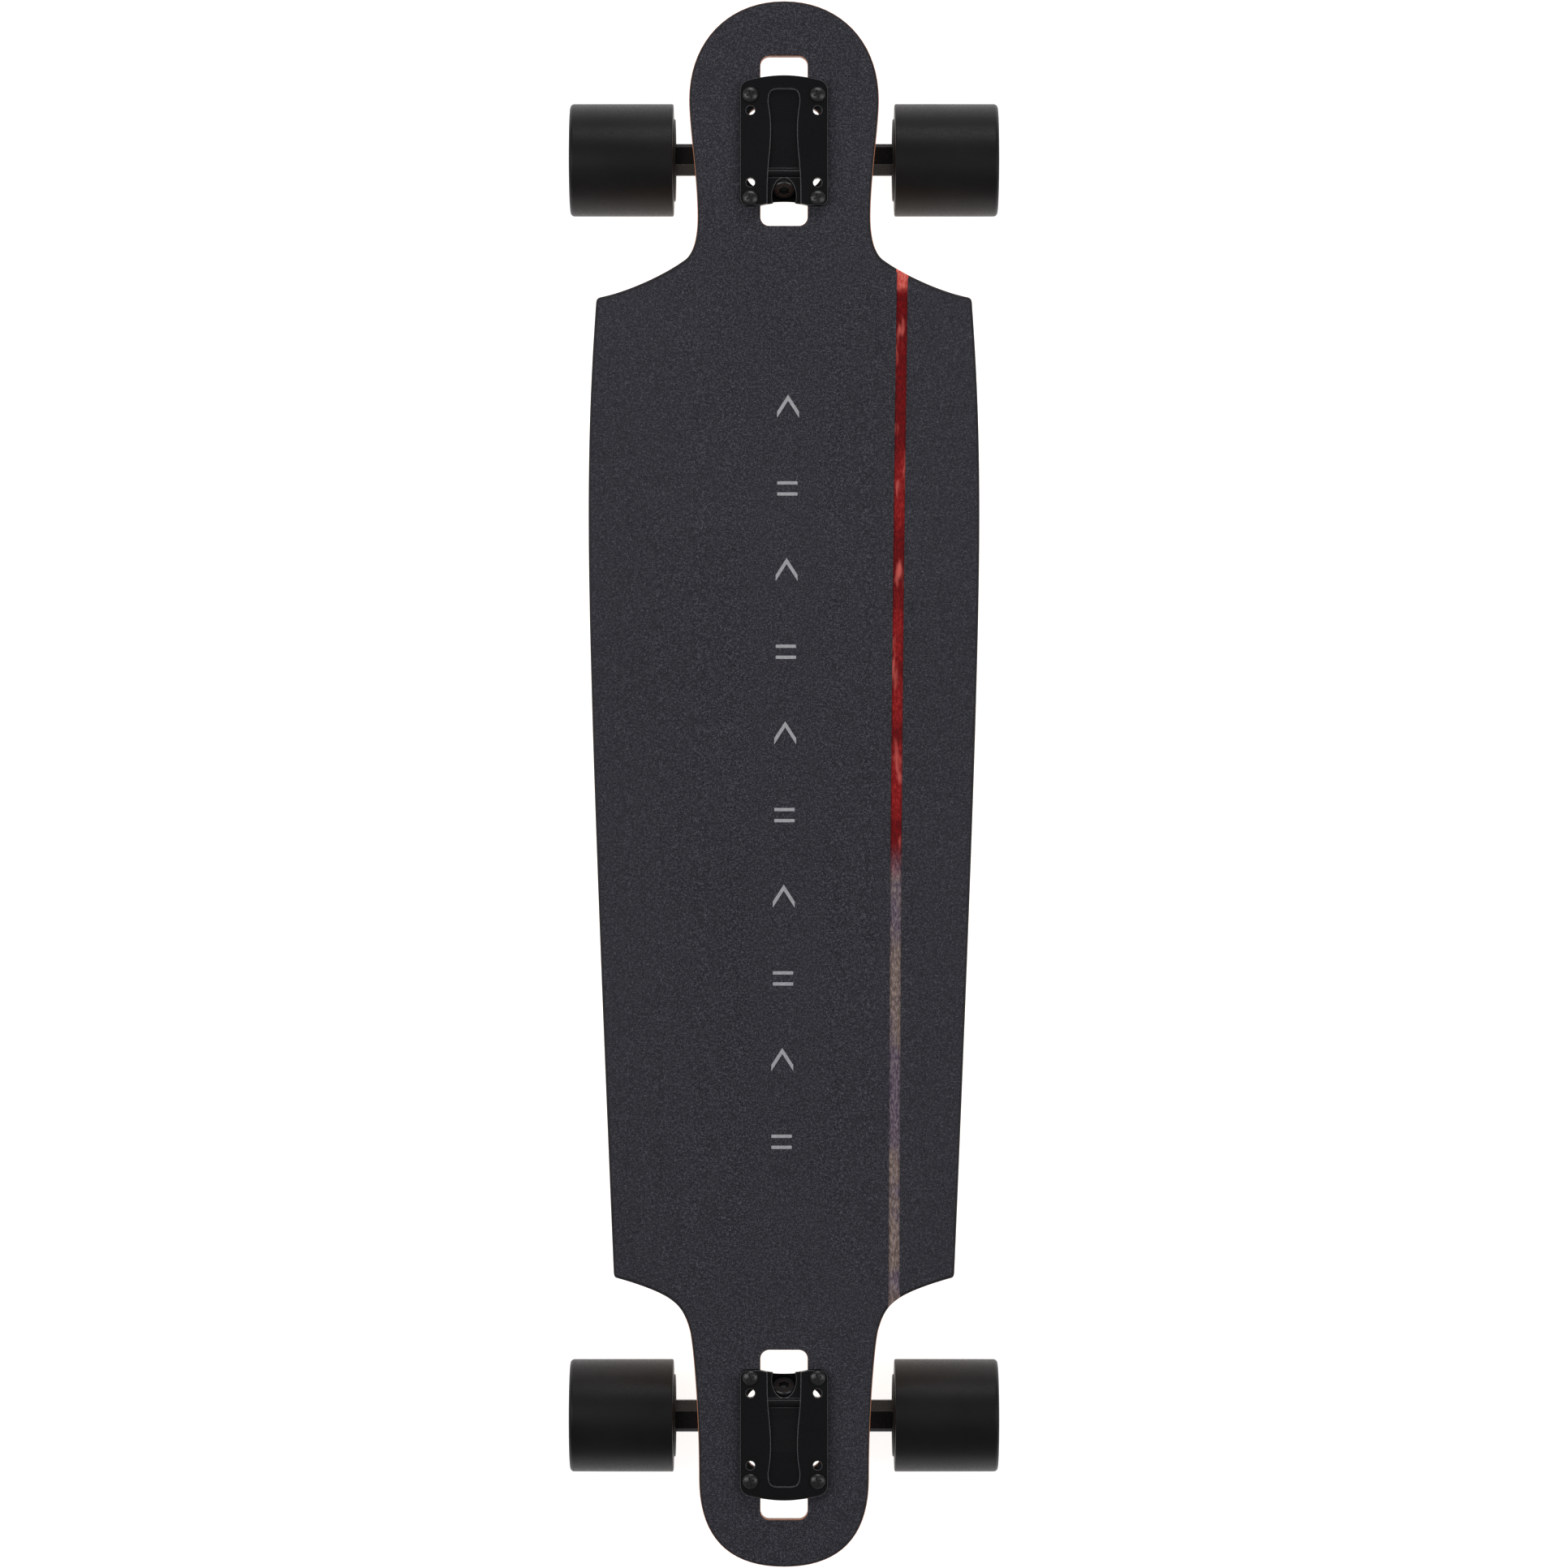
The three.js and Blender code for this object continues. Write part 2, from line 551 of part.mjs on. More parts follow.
function hanger() {
  const section = armSection();
  let body = solid(prism(outline(section), -armReach, armReach), sideways);
  const hullPoints = [];
  for (const x of [-hangerCore, hangerCore]) {
    for (const [y, z] of section) hullPoints.push(new THREE.Vector3(x, y, z));
  }
  const steps = 12;
  for (let i = 0; i <= steps; i++) {
    const turn = Math.PI * (i / steps);
    for (const k of [-ringThickness / 2, ringThickness / 2]) {
      const [y, z] = onAxes(-ringRadius * Math.sin(turn), k);
      hullPoints.push(new THREE.Vector3(ringRadius * Math.cos(turn), y, z));
    }
  }
  body = body.add(solid(new ConvexGeometry(hullPoints)));
  body = body.add(solid(rod(ringRadius, -ringThickness / 2, ringThickness / 2, 24), alongKingpin));
  const pin = turned([
    [0, -pivotReach - pivotRadius], [pivotRadius * 0.6, -pivotReach - pivotRadius * 0.8],
    [pivotRadius, -pivotReach], [pivotRadius, -pivotReach + towerMouth + 1],
    [pivotRootRadius, -ringRadius - 2], [0, -ringRadius - 2],
  ], 20);
  for (const side of [-1, 1]) {
    const taper = turned([
      [0, armReach - 1], [armHeight / 2, armReach - 1],
      [armEndRadius, hangerWidth / 2], [0, hangerWidth / 2],
    ], 16);
    if (side < 0) taper.rotateX(Math.PI);
    taper.applyMatrix4(alongX).translate(0, -axleSetback, -truckHeight);
    body = body.add(solid(taper));
  }
  // room for the roadside bushing over the whole steering travel, and for the tower
  const room = bushingRadius + 1.3;
  const turns = [-1, -0.5, 0, 0.5, 1].map((share) => share * (steerTravel + 2));
  for (const degrees of turns) {
    const tilt = new THREE.Matrix4().makeRotationZ(THREE.MathUtils.degToRad(degrees));
    const tool = rod(room, ringThickness / 2, 60, 20);
    body = body.subtract(solid(tool, alongKingpin.clone().multiply(tilt)));
  }
  body = body.subtract(solid(rod(towerRadius + 1, -80, -pivotReach + towerMouth + 1, 24), alongSteer));
  body = body.add(solid(pin, alongSteer));
  body = body.subtract(solid(rod(ringBoreRadius, -20, 20, 20), alongKingpin));
  const bore = rod(axleRadius + fitGap, -hangerWidth, hangerWidth, 16).applyMatrix4(alongX);
  body = body.subtract(solid(bore.translate(0, -axleSetback, -truckHeight)));
  return surface(body);
}

function bolt() {
  const profile = [
    [0, -boltLength], [boltRadius, -boltLength], [boltRadius, seatGap], [boltHeadRadius, seatGap],
    [boltHeadRadius, 1], [boltHeadRadius * 0.72, boltHeadHeight - 0.4], [0, boltHeadHeight],
  ];
  return turned(profile, 12).rotateX(Math.PI / 2);
}

function lockNut() {
  const high = -plateThickness - deckThickness - 2 * seatGap;
  return hexNut(lockNutFlats, boltRadius, high - lockNutHeight, high).rotateX(Math.PI / 2);
}

// ---- wheel pieces: turned round the axle, measured from the truck's middle ----
function tyre() {
  const bore = coreRadius + fitGap;
  const low = coreMiddleX - coreLength / 2;
  const high = coreMiddleX + coreLength / 2;
  return turned([
    [bore, low], [hubLipRadius - 5, wheelInner - hubLip], [hubLipRadius, wheelInner - hubLip],
    [hubLipRadius, wheelInner], [wheelRadius - edgeInner, wheelInner],
    [wheelRadius, wheelInner + edgeInner], [wheelRadius, wheelOuter - edgeOuter],
    [wheelRadius - edgeOuter * 0.3, wheelOuter - edgeOuter * 0.3],
    [wheelRadius - edgeOuter, wheelOuter], [hubLipRadius, wheelOuter], [bore, high],
  ], 28);
}

function core() {
  const low = coreMiddleX - coreLength / 2;
  const high = coreMiddleX + coreLength / 2;
  const seat = bearingRadius + fitGap;
  const flange = bearingRadius - 1.5; // keeps the bearings apart
  const innerSeatEnd = innerBearingX + bearingWidth + seatGap;
  return turned([
    [recessRadius, low], [coreRadius, low], [coreRadius, high], [recessRadius, high],
    [seat, outerBearingX + bearingWidth], [seat, outerBearingX - seatGap],
    [flange, outerBearingX - seatGap], [flange, innerSeatEnd],
    [seat, innerSeatEnd], [seat, innerBearingX],
  ], 16);
}

function bearing(low) {
  return ring(bearingBore + fitGap, bearingRadius, low, low + bearingWidth, 16);
}

// ---- assembly ----
const board = new THREE.Group();
add(board, "deck", deck(), wood);
const [mainSheet, sideSheet] = gripSheets();
add(board, "grip_main", mainSheet, grit);
add(board, "grip_side", sideSheet, grit);

function wheel(parent, name, side) {
  const group = new THREE.Group();
  group.position.set(0, -axleSetback, -truckHeight);
  group.rotation.z = side > 0 ? 0 : Math.PI;
  parent.add(group);
  const pieces = [
    ["tyre", tyre(), urethane],
    ["core", core(), hubPlastic],
    ["inner_bearing", bearing(innerBearingX), bearingSteel],
    ["outer_bearing", bearing(outerBearingX), bearingSteel],
    ["axle_nut", hexNut(axleNutFlats, axleRadius, axleNutX, axleNutX + axleNutHeight), blackSteel],
  ];
  for (const [piece, geometry, look] of pieces) {
    add(group, `${name}_${piece}`, geometry.applyMatrix4(alongX), look);
  }
}

function truck(name, place) {
  const group = new THREE.Group();
  group.applyMatrix4(place);
  board.add(group);
  add(group, `${name}_baseplate`, baseplate(), casting);
  add(group, `${name}_pivot_cup`, pivotCup(), darkRubber);
  add(group, `${name}_hanger`, hanger(), casting);
  const axle = rod(axleRadius, -axleEndX, axleEndX, 16).applyMatrix4(alongX);
  add(group, `${name}_axle`, axle.translate(0, -axleSetback, -truckHeight), brightSteel);
  add(group, `${name}_kingpin`, kingpin(), blackSteel);
  add(group, `${name}_kingpin_nut`, kingpinNut(), blackSteel);
  for (const [word, side] of [["boardside", -1], ["roadside", 1]]) {
    add(group, `${name}_${word}_bushing`, bushing(side), darkRubber);
    add(group, `${name}_${word}_washer`, washer(side), brightSteel);
  }
  boltPlaces.forEach(([x, y], i) => {
    add(group, `${name}_bolt_${i + 1}`, bolt(), blackSteel).position.set(x, y, 0);
    add(group, `${name}_lock_nut_${i + 1}`, lockNut(), blackSteel).position.set(x, y, 0);
  });
  wheel(group, `${name}_right_wheel`, name === "front" ? 1 : -1);
  wheel(group, `${name}_left_wheel`, name === "front" ? -1 : 1);
}

truck("front", truckMatrices[0]);
truck("rear", truckMatrices[1]);

export default board;
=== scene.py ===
# %% [markdown]
# # A drop-through longboard
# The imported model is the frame: it holds every part at its real size and place, in metres, with +Y
# towards the nose and +Z up. This lesson dresses it. Some of its parts keep their shape and only get
# softer edges and a finish. Others, such as the deck, wheels and bolts, are modelled again, finer, in
# the room that the frame gives them.

# %% Load the frame
import json
import math

import bpy
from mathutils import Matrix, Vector


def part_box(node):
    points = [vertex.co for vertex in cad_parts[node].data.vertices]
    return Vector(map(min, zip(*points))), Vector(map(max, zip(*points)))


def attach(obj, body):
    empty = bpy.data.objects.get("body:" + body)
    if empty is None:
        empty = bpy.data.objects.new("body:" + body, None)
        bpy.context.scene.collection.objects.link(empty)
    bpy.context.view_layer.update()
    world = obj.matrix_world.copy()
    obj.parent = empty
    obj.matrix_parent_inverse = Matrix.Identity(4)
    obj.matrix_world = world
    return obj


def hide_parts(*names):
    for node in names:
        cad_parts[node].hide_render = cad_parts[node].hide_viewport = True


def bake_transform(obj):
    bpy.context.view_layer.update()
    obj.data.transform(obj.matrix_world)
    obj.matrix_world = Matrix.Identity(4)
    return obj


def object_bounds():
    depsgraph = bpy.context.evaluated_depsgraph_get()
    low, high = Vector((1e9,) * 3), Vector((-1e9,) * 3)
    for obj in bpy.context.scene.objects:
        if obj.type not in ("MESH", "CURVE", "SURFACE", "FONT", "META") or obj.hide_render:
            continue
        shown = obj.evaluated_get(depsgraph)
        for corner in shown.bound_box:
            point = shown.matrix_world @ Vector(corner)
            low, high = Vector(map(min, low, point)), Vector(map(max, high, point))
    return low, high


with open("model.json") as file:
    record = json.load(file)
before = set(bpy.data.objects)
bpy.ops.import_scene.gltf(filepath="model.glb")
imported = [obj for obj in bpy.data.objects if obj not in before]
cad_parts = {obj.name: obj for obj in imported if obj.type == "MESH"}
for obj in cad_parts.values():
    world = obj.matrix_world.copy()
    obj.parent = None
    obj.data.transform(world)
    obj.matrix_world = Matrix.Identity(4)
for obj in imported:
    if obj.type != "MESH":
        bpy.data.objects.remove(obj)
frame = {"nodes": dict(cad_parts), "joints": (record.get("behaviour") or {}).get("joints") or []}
cad_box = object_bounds()
mm = 0.001
print("frame box", [round(v, 4) for corner in cad_box for v in corner])

# %% [markdown]
# The camera comes first, since everything is judged through it. It looks straight down from well
# above, as a catalogue view of a board does, so the deck is seen flat and the wheels only a little
# from the side. The lens is long for the same reason: it keeps the nose and tail from bulging.

# %% Camera
scene = bpy.context.scene
board_length = cad_box[1].y - cad_box[0].y
framed = board_length * 1.001
camera_rise = 3.75
deck_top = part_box("grip_main")[0].z
bpy.ops.object.camera_add(location=(0, 0, deck_top + camera_rise), rotation=(0, 0, 0))
camera = bpy.context.object
camera.data.sensor_width = 36
camera.data.lens = 36 * camera_rise / framed
scene.camera = camera
print("camera", round(camera.location.z, 3), "m up, lens", round(camera.data.lens, 1), "mm")

# %% [markdown]
# A pale floor and large soft lamps. The floor glows a little, so that it stays white while the light
# on the board is kept low: a black finish mirrors whatever is above it, and turns grey under a bright
# sky. Two long lamps lie along the board, and a smaller one at the nose end draws a thin bright line
# along the bevels. The sky is dim as a light, but shows pale behind the board.

# %% Floor and lights
scene.view_settings.view_transform = "Standard"
bpy.ops.mesh.primitive_plane_add(size=14, location=(0, 0, 0))
floor = bpy.context.object
floor.name = "studio_floor"


def lamp(name, place, target, width, height, power):
    bpy.ops.object.light_add(type="AREA", location=place)
    light = bpy.context.object
    light.name = name
    light.data.shape = "RECTANGLE"
    light.data.size = width
    light.data.size_y = height
    light.data.energy = power
    light.rotation_euler = (Vector(target) - Vector(place)).to_track_quat("-Z", "Y").to_euler()
    return light


lamp("overhead_left", (-1.7, 0.2, 2.3), (0, 0, 0), 1.2, 2.6, 24)
lamp("overhead_right", (1.9, -0.2, 2.2), (0, 0, 0), 1.2, 2.6, 18)
lamp("nose_end", (0.2, 2.4, 1.6), (0, 0.1, 0), 1.6, 0.8, 18)
world = bpy.data.worlds.new("studio")
scene.world = world
world.use_nodes = True
sky = world.node_tree.nodes
sky_light = sky["Background"]
sky_light.inputs["Color"].default_value = (0.96, 0.97, 1, 1)
sky_light.inputs["Strength"].default_value = 0.22
backdrop = sky.new("ShaderNodeBackground")
backdrop.inputs["Color"].default_value = (0.9, 0.9, 0.9, 1)
ray = sky.new("ShaderNodeLightPath")
choice = sky.new("ShaderNodeMixShader")
world.node_tree.links.new(ray.outputs["Is Camera Ray"], choice.inputs["Fac"])
world.node_tree.links.new(sky_light.outputs["Background"], choice.inputs[1])
world.node_tree.links.new(backdrop.outputs["Background"], choice.inputs[2])
world.node_tree.links.new(choice.outputs["Shader"], sky["World Output"].inputs["Surface"])

# %% [markdown]
# ## Materials
# Every finish is a small node tree on a Principled shader. Most of them need the same three things:
# a base colour that wanders a little, a roughness that wanders too, and a fine bump. One helper wires
# that up, so each finish below is only a set of sizes and colours. Patterns read Object coordinates,
# which are metres here, so a scale of 1000 gives features about a millimetre across.

# %% The common finish


def new_material(name):
    look = bpy.data.materials.new(name)
    look.use_nodes = True
    tree = look.node_tree
    place = tree.nodes.new("ShaderNodeTexCoord")
    return look, tree, tree.nodes["Principled BSDF"], place.outputs["Object"]


def noise(tree, place, scale, detail=3, rough=0.55):
    texture = tree.nodes.new("ShaderNodeTexNoise")
    texture.inputs["Scale"].default_value = scale
    texture.inputs["Detail"].default_value = detail
    texture.inputs["Roughness"].default_value = rough
    tree.links.new(place, texture.inputs["Vector"])
    return texture.outputs["Fac"]


def ramp(tree, value, stops):
    """stops: (position, colour or grey) pairs"""
    band = tree.nodes.new("ShaderNodeValToRGB")
    for i, (position, colour) in enumerate(stops):
        stop = band.color_ramp.elements[i] if i < 2 else band.color_ramp.elements.new(position)
        stop.position = position
        stop.color = (*colour, 1) if isinstance(colour, tuple) else (colour, colour, colour, 1)
    tree.links.new(value, band.inputs["Fac"])
    return band.outputs["Color"]


def mix(tree, factor, first_colour, second_colour):
    blend = tree.nodes.new("ShaderNodeMix")
    blend.data_type = "RGBA"
    sockets = [s for s in blend.inputs if s.type == "RGBA"]
    for value, socket in ((first_colour, sockets[0]), (second_colour, sockets[1])):
        if isinstance(value, tuple):
            socket.default_value = (*value, 1)
        else:
            tree.links.new(value, socket)
    if isinstance(factor, float):
        blend.inputs[0].default_value = factor
    else:
        tree.links.new(factor, blend.inputs[0])
    return next(s for s in blend.outputs if s.type == "RGBA")


def maths(tree, operation, *values):
    """A Math node; each value is a number or another node's output."""
    node = tree.nodes.new("ShaderNodeMath")
    node.operation = operation
    for value, socket in zip(values, node.inputs):
        if isinstance(value, (int, float)):
            socket.default_value = value
        else:
            tree.links.new(value, socket)
    return node.outputs["Value"]


def span(tree, value, start, end):
    """0 to 1 as value goes from start to end."""
    reach = tree.nodes.new("ShaderNodeMapRange")
    reach.interpolation_type = "SMOOTHSTEP"
    reach.inputs["From Min"].default_value = start
    reach.inputs["From Max"].default_value = end
    tree.links.new(value, reach.inputs["Value"])
    return reach.outputs["Result"]


def bump(tree, shader, height, strength, distance):
    relief = tree.nodes.new("ShaderNodeBump")
    relief.inputs["Strength"].default_value = strength
    relief.inputs["Distance"].default_value = distance
    tree.links.new(height, relief.inputs["Height"])
    tree.links.new(relief.outputs["Normal"], shader.inputs["Normal"])


def finish(name, dark, light, rough, grain, metallic=0, relief=(0.2, 0.0001), blotch=9, gloss=0.5):
    """A finish whose colour drifts from dark to light and whose roughness spans rough."""
    look, tree, shader, place = new_material(name)
    drift = noise(tree, place, blotch, 4)
    fine = noise(tree, place, grain, 2)
    tree.links.new(ramp(tree, drift, [(0.32, dark), (0.68, light)]), shader.inputs["Base Color"])
    tree.links.new(ramp(tree, fine, [(0.3, rough[0]), (0.7, rough[1])]), shader.inputs["Roughness"])
    shader.inputs["Metallic"].default_value = metallic
    shader.inputs["Specular IOR Level"].default_value = gloss
    bump(tree, shader, fine, *relief)
    return look


# %% [markdown]
# Thin pale lines along the bevels of the black castings and bolts are painted into the colour: a
# painted highlight, for the light that their rounded edges catch. A mask could be painted by hand, but
# it wouldn't follow a changed shape. The Bevel node gives the normal that a rounded edge would have,
# and where that leaves the true one the colour turns paler.

# %% Painted edge highlights


def paint_edge_highlights(look, width, highlight_colour):
    """Paints the edges paler where a rounded normal leaves the true one: a painted highlight."""
    tree = look.node_tree
    rounded = tree.nodes.new("ShaderNodeBevel")
    rounded.samples = 6
    rounded.inputs["Radius"].default_value = width
    true_normal = tree.nodes.new("ShaderNodeNewGeometry")
    match = tree.nodes.new("ShaderNodeVectorMath")
    match.operation = "DOT_PRODUCT"
    tree.links.new(rounded.outputs["Normal"], match.inputs[0])
    tree.links.new(true_normal.outputs["Normal"], match.inputs[1])
    edge = span(tree, match.outputs["Value"], 0.99, 0.9)
    colour = tree.nodes["Principled BSDF"].inputs["Base Color"]
    # The paler edge colour is a painted highlight, standing for light caught on the rounded edge.
    tree.links.new(mix(tree, edge, colour.links[0].from_socket, highlight_colour), colour)


# %% [markdown]
# The castings are powder-coated and almost matt, bolts and nuts are blackened steel, and washers,
# axles and bearing races are bright. The tyres are black urethane with a soft sheen, the bushings a
# slightly greyer one, and the cores are glass-filled nylon. Each finish is one call with its two
# colours, its span of roughness and the size of its grain.

# %% Metals, urethane and plastics
casting = finish("black_powder_coat", (0.0025, 0.0025, 0.0032), (0.0052, 0.0052, 0.0062), (0.24, 0.36),
                 1800, relief=(0.2, 0.00005), gloss=0.2)
# Painted highlight: the castings' edges are painted paler, for the light their bevels catch.
paint_edge_highlights(casting, 0.6 * mm, (0.20, 0.20, 0.21))
black_steel = finish("blackened_steel", (0.004, 0.004, 0.0043), (0.011, 0.011, 0.0115), (0.24, 0.38),
                     2400, relief=(0.12, 0.00003), blotch=140, gloss=0.65)
# Painted highlight: the black steel's edges are painted paler as well.
paint_edge_highlights(black_steel, 0.25 * mm, (0.05, 0.05, 0.052))
bright_steel = finish("bright_zinc", (0.46, 0.46, 0.47), (0.62, 0.62, 0.63), (0.2, 0.36), 3000,
                      metallic=1, relief=(0.1, 0.00002), blotch=220)
race_steel = finish("ground_steel", (0.50, 0.50, 0.52), (0.64, 0.64, 0.66), (0.12, 0.24), 4200,
                    metallic=1, relief=(0.08, 0.00002), blotch=300)
urethane = finish("black_urethane", (0.0045, 0.0042, 0.0044), (0.0085, 0.0080, 0.0083), (0.38, 0.52),
                  900, relief=(0.22, 0.00012), blotch=26, gloss=0.22)
bushing_urethane = finish("smoke_urethane", (0.020, 0.020, 0.022), (0.034, 0.034, 0.037), (0.3, 0.44),
                          1200, relief=(0.14, 0.00006), blotch=60)
rubber = finish("moulded_rubber", (0.012, 0.012, 0.013), (0.020, 0.020, 0.021), (0.62, 0.78), 1500,
                relief=(0.3, 0.0001), blotch=80)
hub_nylon = finish("glass_filled_nylon", (0.020, 0.020, 0.022), (0.033, 0.033, 0.036), (0.38, 0.52),
                   2000, relief=(0.2, 0.00006), blotch=70)
shield_rubber = finish("bearing_shield", (0.05, 0.008, 0.008), (0.09, 0.014, 0.012), (0.4, 0.5), 1500,
                       relief=(0.15, 0.00005), blotch=120)
print("plain finishes made")

# %% [markdown]
# The floor is studio paper: the same helper, nearly white, with hardly any relief. A bright lamp on it
# would whiten it too, but would grey the black board, so it glows instead. It is clear from behind,
# so that the board's underside can be looked at as well.

# %% Floor finish
floor_look = finish("studio_paper", (0.86, 0.86, 0.86), (0.88, 0.88, 0.88), (0.8, 0.9), 60,
                    relief=(0.02, 0.0001), blotch=2)
paper = floor_look.node_tree.nodes["Principled BSDF"]
paper.inputs["Emission Color"].default_value = (1, 1, 1, 1)
paper.inputs["Emission Strength"].default_value = 0.84
tree = floor_look.node_tree
facing = tree.nodes.new("ShaderNodeNewGeometry")
seen = maths(tree, "SUBTRACT", 1, facing.outputs["Backfacing"])
tree.links.new(seen, paper.inputs["Alpha"])
floor.data.materials.append(floor_look)

# %% [markdown]
# ## Helpers for modelling
# Three things come up again and again. `clear` drops the selection, because an operator works on all
# that is selected. `settle` presses an object's turn and place into its mesh, so that it ends at the
# origin as the frame's own parts do. `measure` reads how far a frame part reaches along an axis and
# how wide it is about it, so that a new piece takes its sizes from the part it stands for.

# %% Modelling helpers


def clear():
    if bpy.context.object and bpy.context.object.mode != "OBJECT":
        bpy.ops.object.mode_set(mode="OBJECT")
    bpy.ops.object.select_all(action="DESELECT")


def pick(piece):
    clear()
    piece.select_set(True)
    bpy.context.view_layer.objects.active = piece


def settle(piece):
    pick(piece)
    bpy.ops.object.transform_apply(location=True, rotation=True, scale=True)
    return piece


def apply_modifier(piece, kind, **settings):
    pick(piece)
    modifier = piece.modifiers.new(kind.lower(), kind)
    for key, value in settings.items():
        setattr(modifier, key, value)
    bpy.ops.object.modifier_apply(modifier=modifier.name)


def smooth(piece, degrees=32):
    pick(piece)
    bpy.ops.object.shade_smooth_by_angle(angle=math.radians(degrees))


def measure(node, origin, axis):
    """(low, high, radius) of a frame part along and about an axis through origin."""
    axis = Vector(axis).normalized()
    spans, widths = [], []
    for vertex in frame["nodes"][node].data.vertices:
        away = vertex.co - Vector(origin)
        along = away.dot(axis)
        spans.append(along)
        widths.append((away - axis * along).length)
    return min(spans), max(spans), max(widths)


def middle(node):
    low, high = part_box(node)
    return (Vector(low) + Vector(high)) / 2


def hand_over(piece, body, slot_name, look, *nodes):
    """Gives a piece its look and body unless it bends, hides the frame parts it stands for; slot_name
    is not used.
    """
    if look is not None:
        piece.data.materials.clear()
        piece.data.materials.append(look)
    piece.data.name = piece.name
    if body is not None:
        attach(piece, body)
    if nodes:
        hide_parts(*nodes)
    return piece


def copy_of(piece, name, place=(0, 0, 0), direction=None):
    """A copy with a mesh of its own, its +X turned to direction, then moved to place."""
    twin = piece.copy()
    twin.data = piece.data.copy()
    twin.name = name
    scene.collection.objects.link(twin)
    if direction is not None:
        twin.rotation_mode = "QUATERNION"
        twin.rotation_quaternion = Vector(direction).to_track_quat("X", "Z")
    twin.location = place
    return settle(twin)


# %% [markdown]
# Most of a skateboard's small parts are turned on a lathe, and here they are made the same way. One
# vertex is extruded along half of the section, and the line is spun about the X axis. Edges that a
# tool would break are bevelled afterwards, by a modifier that picks them by their angle.

# %% Lathe


def turned(name, section, steps=64, edge=0.0, closed=True, segments=2):
    """Spins a section of (along X, radius) points, in metres, about the X axis."""
    clear()
    bpy.ops.mesh.primitive_plane_add(size=mm, location=(0, 0, 0))
    piece = bpy.context.object
    piece.name = name
    bpy.ops.object.mode_set(mode="EDIT")
    bpy.ops.mesh.select_all(action="SELECT")
    bpy.ops.mesh.merge(type="CENTER")
    bpy.ops.transform.translate(value=(section[0][0], 0, section[0][1]))
    ring = section + [section[0]] if closed else section
    for start, end in zip(ring, ring[1:]):
        step = (end[0] - start[0], 0, end[1] - start[1])
        bpy.ops.mesh.extrude_vertices_move(TRANSFORM_OT_translate={"value": step})
    bpy.ops.mesh.select_all(action="SELECT")
    bpy.ops.mesh.remove_doubles(threshold=1e-6)
    bpy.ops.mesh.spin(steps=steps, angle=2 * math.pi, center=(0, 0, 0), axis=(1, 0, 0))
    bpy.ops.mesh.select_all(action="SELECT")
    bpy.ops.mesh.remove_doubles(threshold=1e-6)
    bpy.ops.mesh.normals_make_consistent(inside=False)
    bpy.ops.object.mode_set(mode="OBJECT")
    if edge:
        apply_modifier(piece, "BEVEL", width=edge, segments=segments, limit_method="ANGLE",
                       angle_limit=math.radians(35), use_clamp_overlap=True)
    smooth(piece)
    return piece


def arc(along, radius, size, start, end, steps=6):
    """Points of a rounded corner, from one angle to another in degrees."""
    points = []
    for i in range(steps + 1):
        turn = math.radians(start + (end - start) * i / steps)
        points.append((along + size * math.cos(turn), radius + size * math.sin(turn)))
    return points


def cut(piece, tool, operation="DIFFERENCE"):
    apply_modifier(piece, "BOOLEAN", operation=operation, object=tool, solver="EXACT")
    bpy.data.objects.remove(tool)
    smooth(piece)

# %% [markdown]
# ## Wheels
# A longboard wheel is a thick tyre of cast urethane on a nylon core. The tread is almost flat, with a
# small round at the outer edge, where the mould opens, and a sharper one at the inner edge, which is
# the one that grips. Both faces are dished, and a raised lip runs round the mouth of the inner one.
# A cylinder with bevels would miss the lip and the dish, so the whole section is drawn once, in lathe
# terms, and spun. Every size comes from the frame's tyre.

# %% Tyre
sides = {"front_right": 1, "front_left": -1, "rear_right": 1, "rear_left": -1}
first = "front_right_wheel"
hub_place = middle(f"{first}_tyre")
hub_place.x = 0
wheel_in, wheel_out, wheel_radius = measure(f"{first}_tyre", hub_place, (1, 0, 0))
core_in, core_out, core_radius = measure(f"{first}_core", hub_place, (1, 0, 0))
lip = 1.3 * mm
lip_radius = 25.7 * mm
bore = core_radius + 0.1 * mm
inner_round = 0.9 * mm
outer_round = 2.6 * mm
dish = 2.2 * mm
tyre_section = [
    (core_in, bore),
    (wheel_in + 7 * mm, bore + 0.3 * mm),
    *arc(wheel_in + 1.1 * mm, lip_radius - 3.4 * mm, 1.1 * mm, 250, 180, 4),
    *arc(wheel_in + 0.9 * mm, lip_radius - 0.9 * mm, 0.9 * mm, 180, 90, 5),
    *arc(wheel_in + lip + 0.8 * mm, lip_radius + 0.9 * mm, 0.8 * mm, 225, 170, 3),
    (wheel_in + lip, wheel_radius - 3 * mm),
    *arc(wheel_in + lip + inner_round, wheel_radius - inner_round, inner_round, 180, 90, 6),
    (middle(f"{first}_tyre").x, wheel_radius),
    *arc(wheel_out - outer_round, wheel_radius - outer_round, outer_round, 90, 0, 8),
    (wheel_out - dish * 0.2, wheel_radius - 6 * mm),
    (wheel_out - dish, lip_radius + 1 * mm),
    *arc(wheel_out - dish - 1.5 * mm, lip_radius - 1.5 * mm, 1.5 * mm, 60, 0, 4)[::-1][:1],
    (wheel_out - dish - 5 * mm, bore + 1.2 * mm),
    (core_out, bore),
]
tyre_model = turned("tyre_model", tyre_section, steps=112)
print("tyre", round(wheel_radius * 2 / mm, 1), "mm across,", len(tyre_model.data.polygons), "faces")

# %% [markdown]
# The core is a moulded ring with a flange in the middle that keeps the bearings apart. It is spun too,
# and then drilled: a ring of blind pockets in its outer face saves weight and leaves ribs between them,
# which is what one sees through the mouth of the wheel. Insets on the face would do for shallow
# pockets, but these go deep, so each is cut with a boolean.

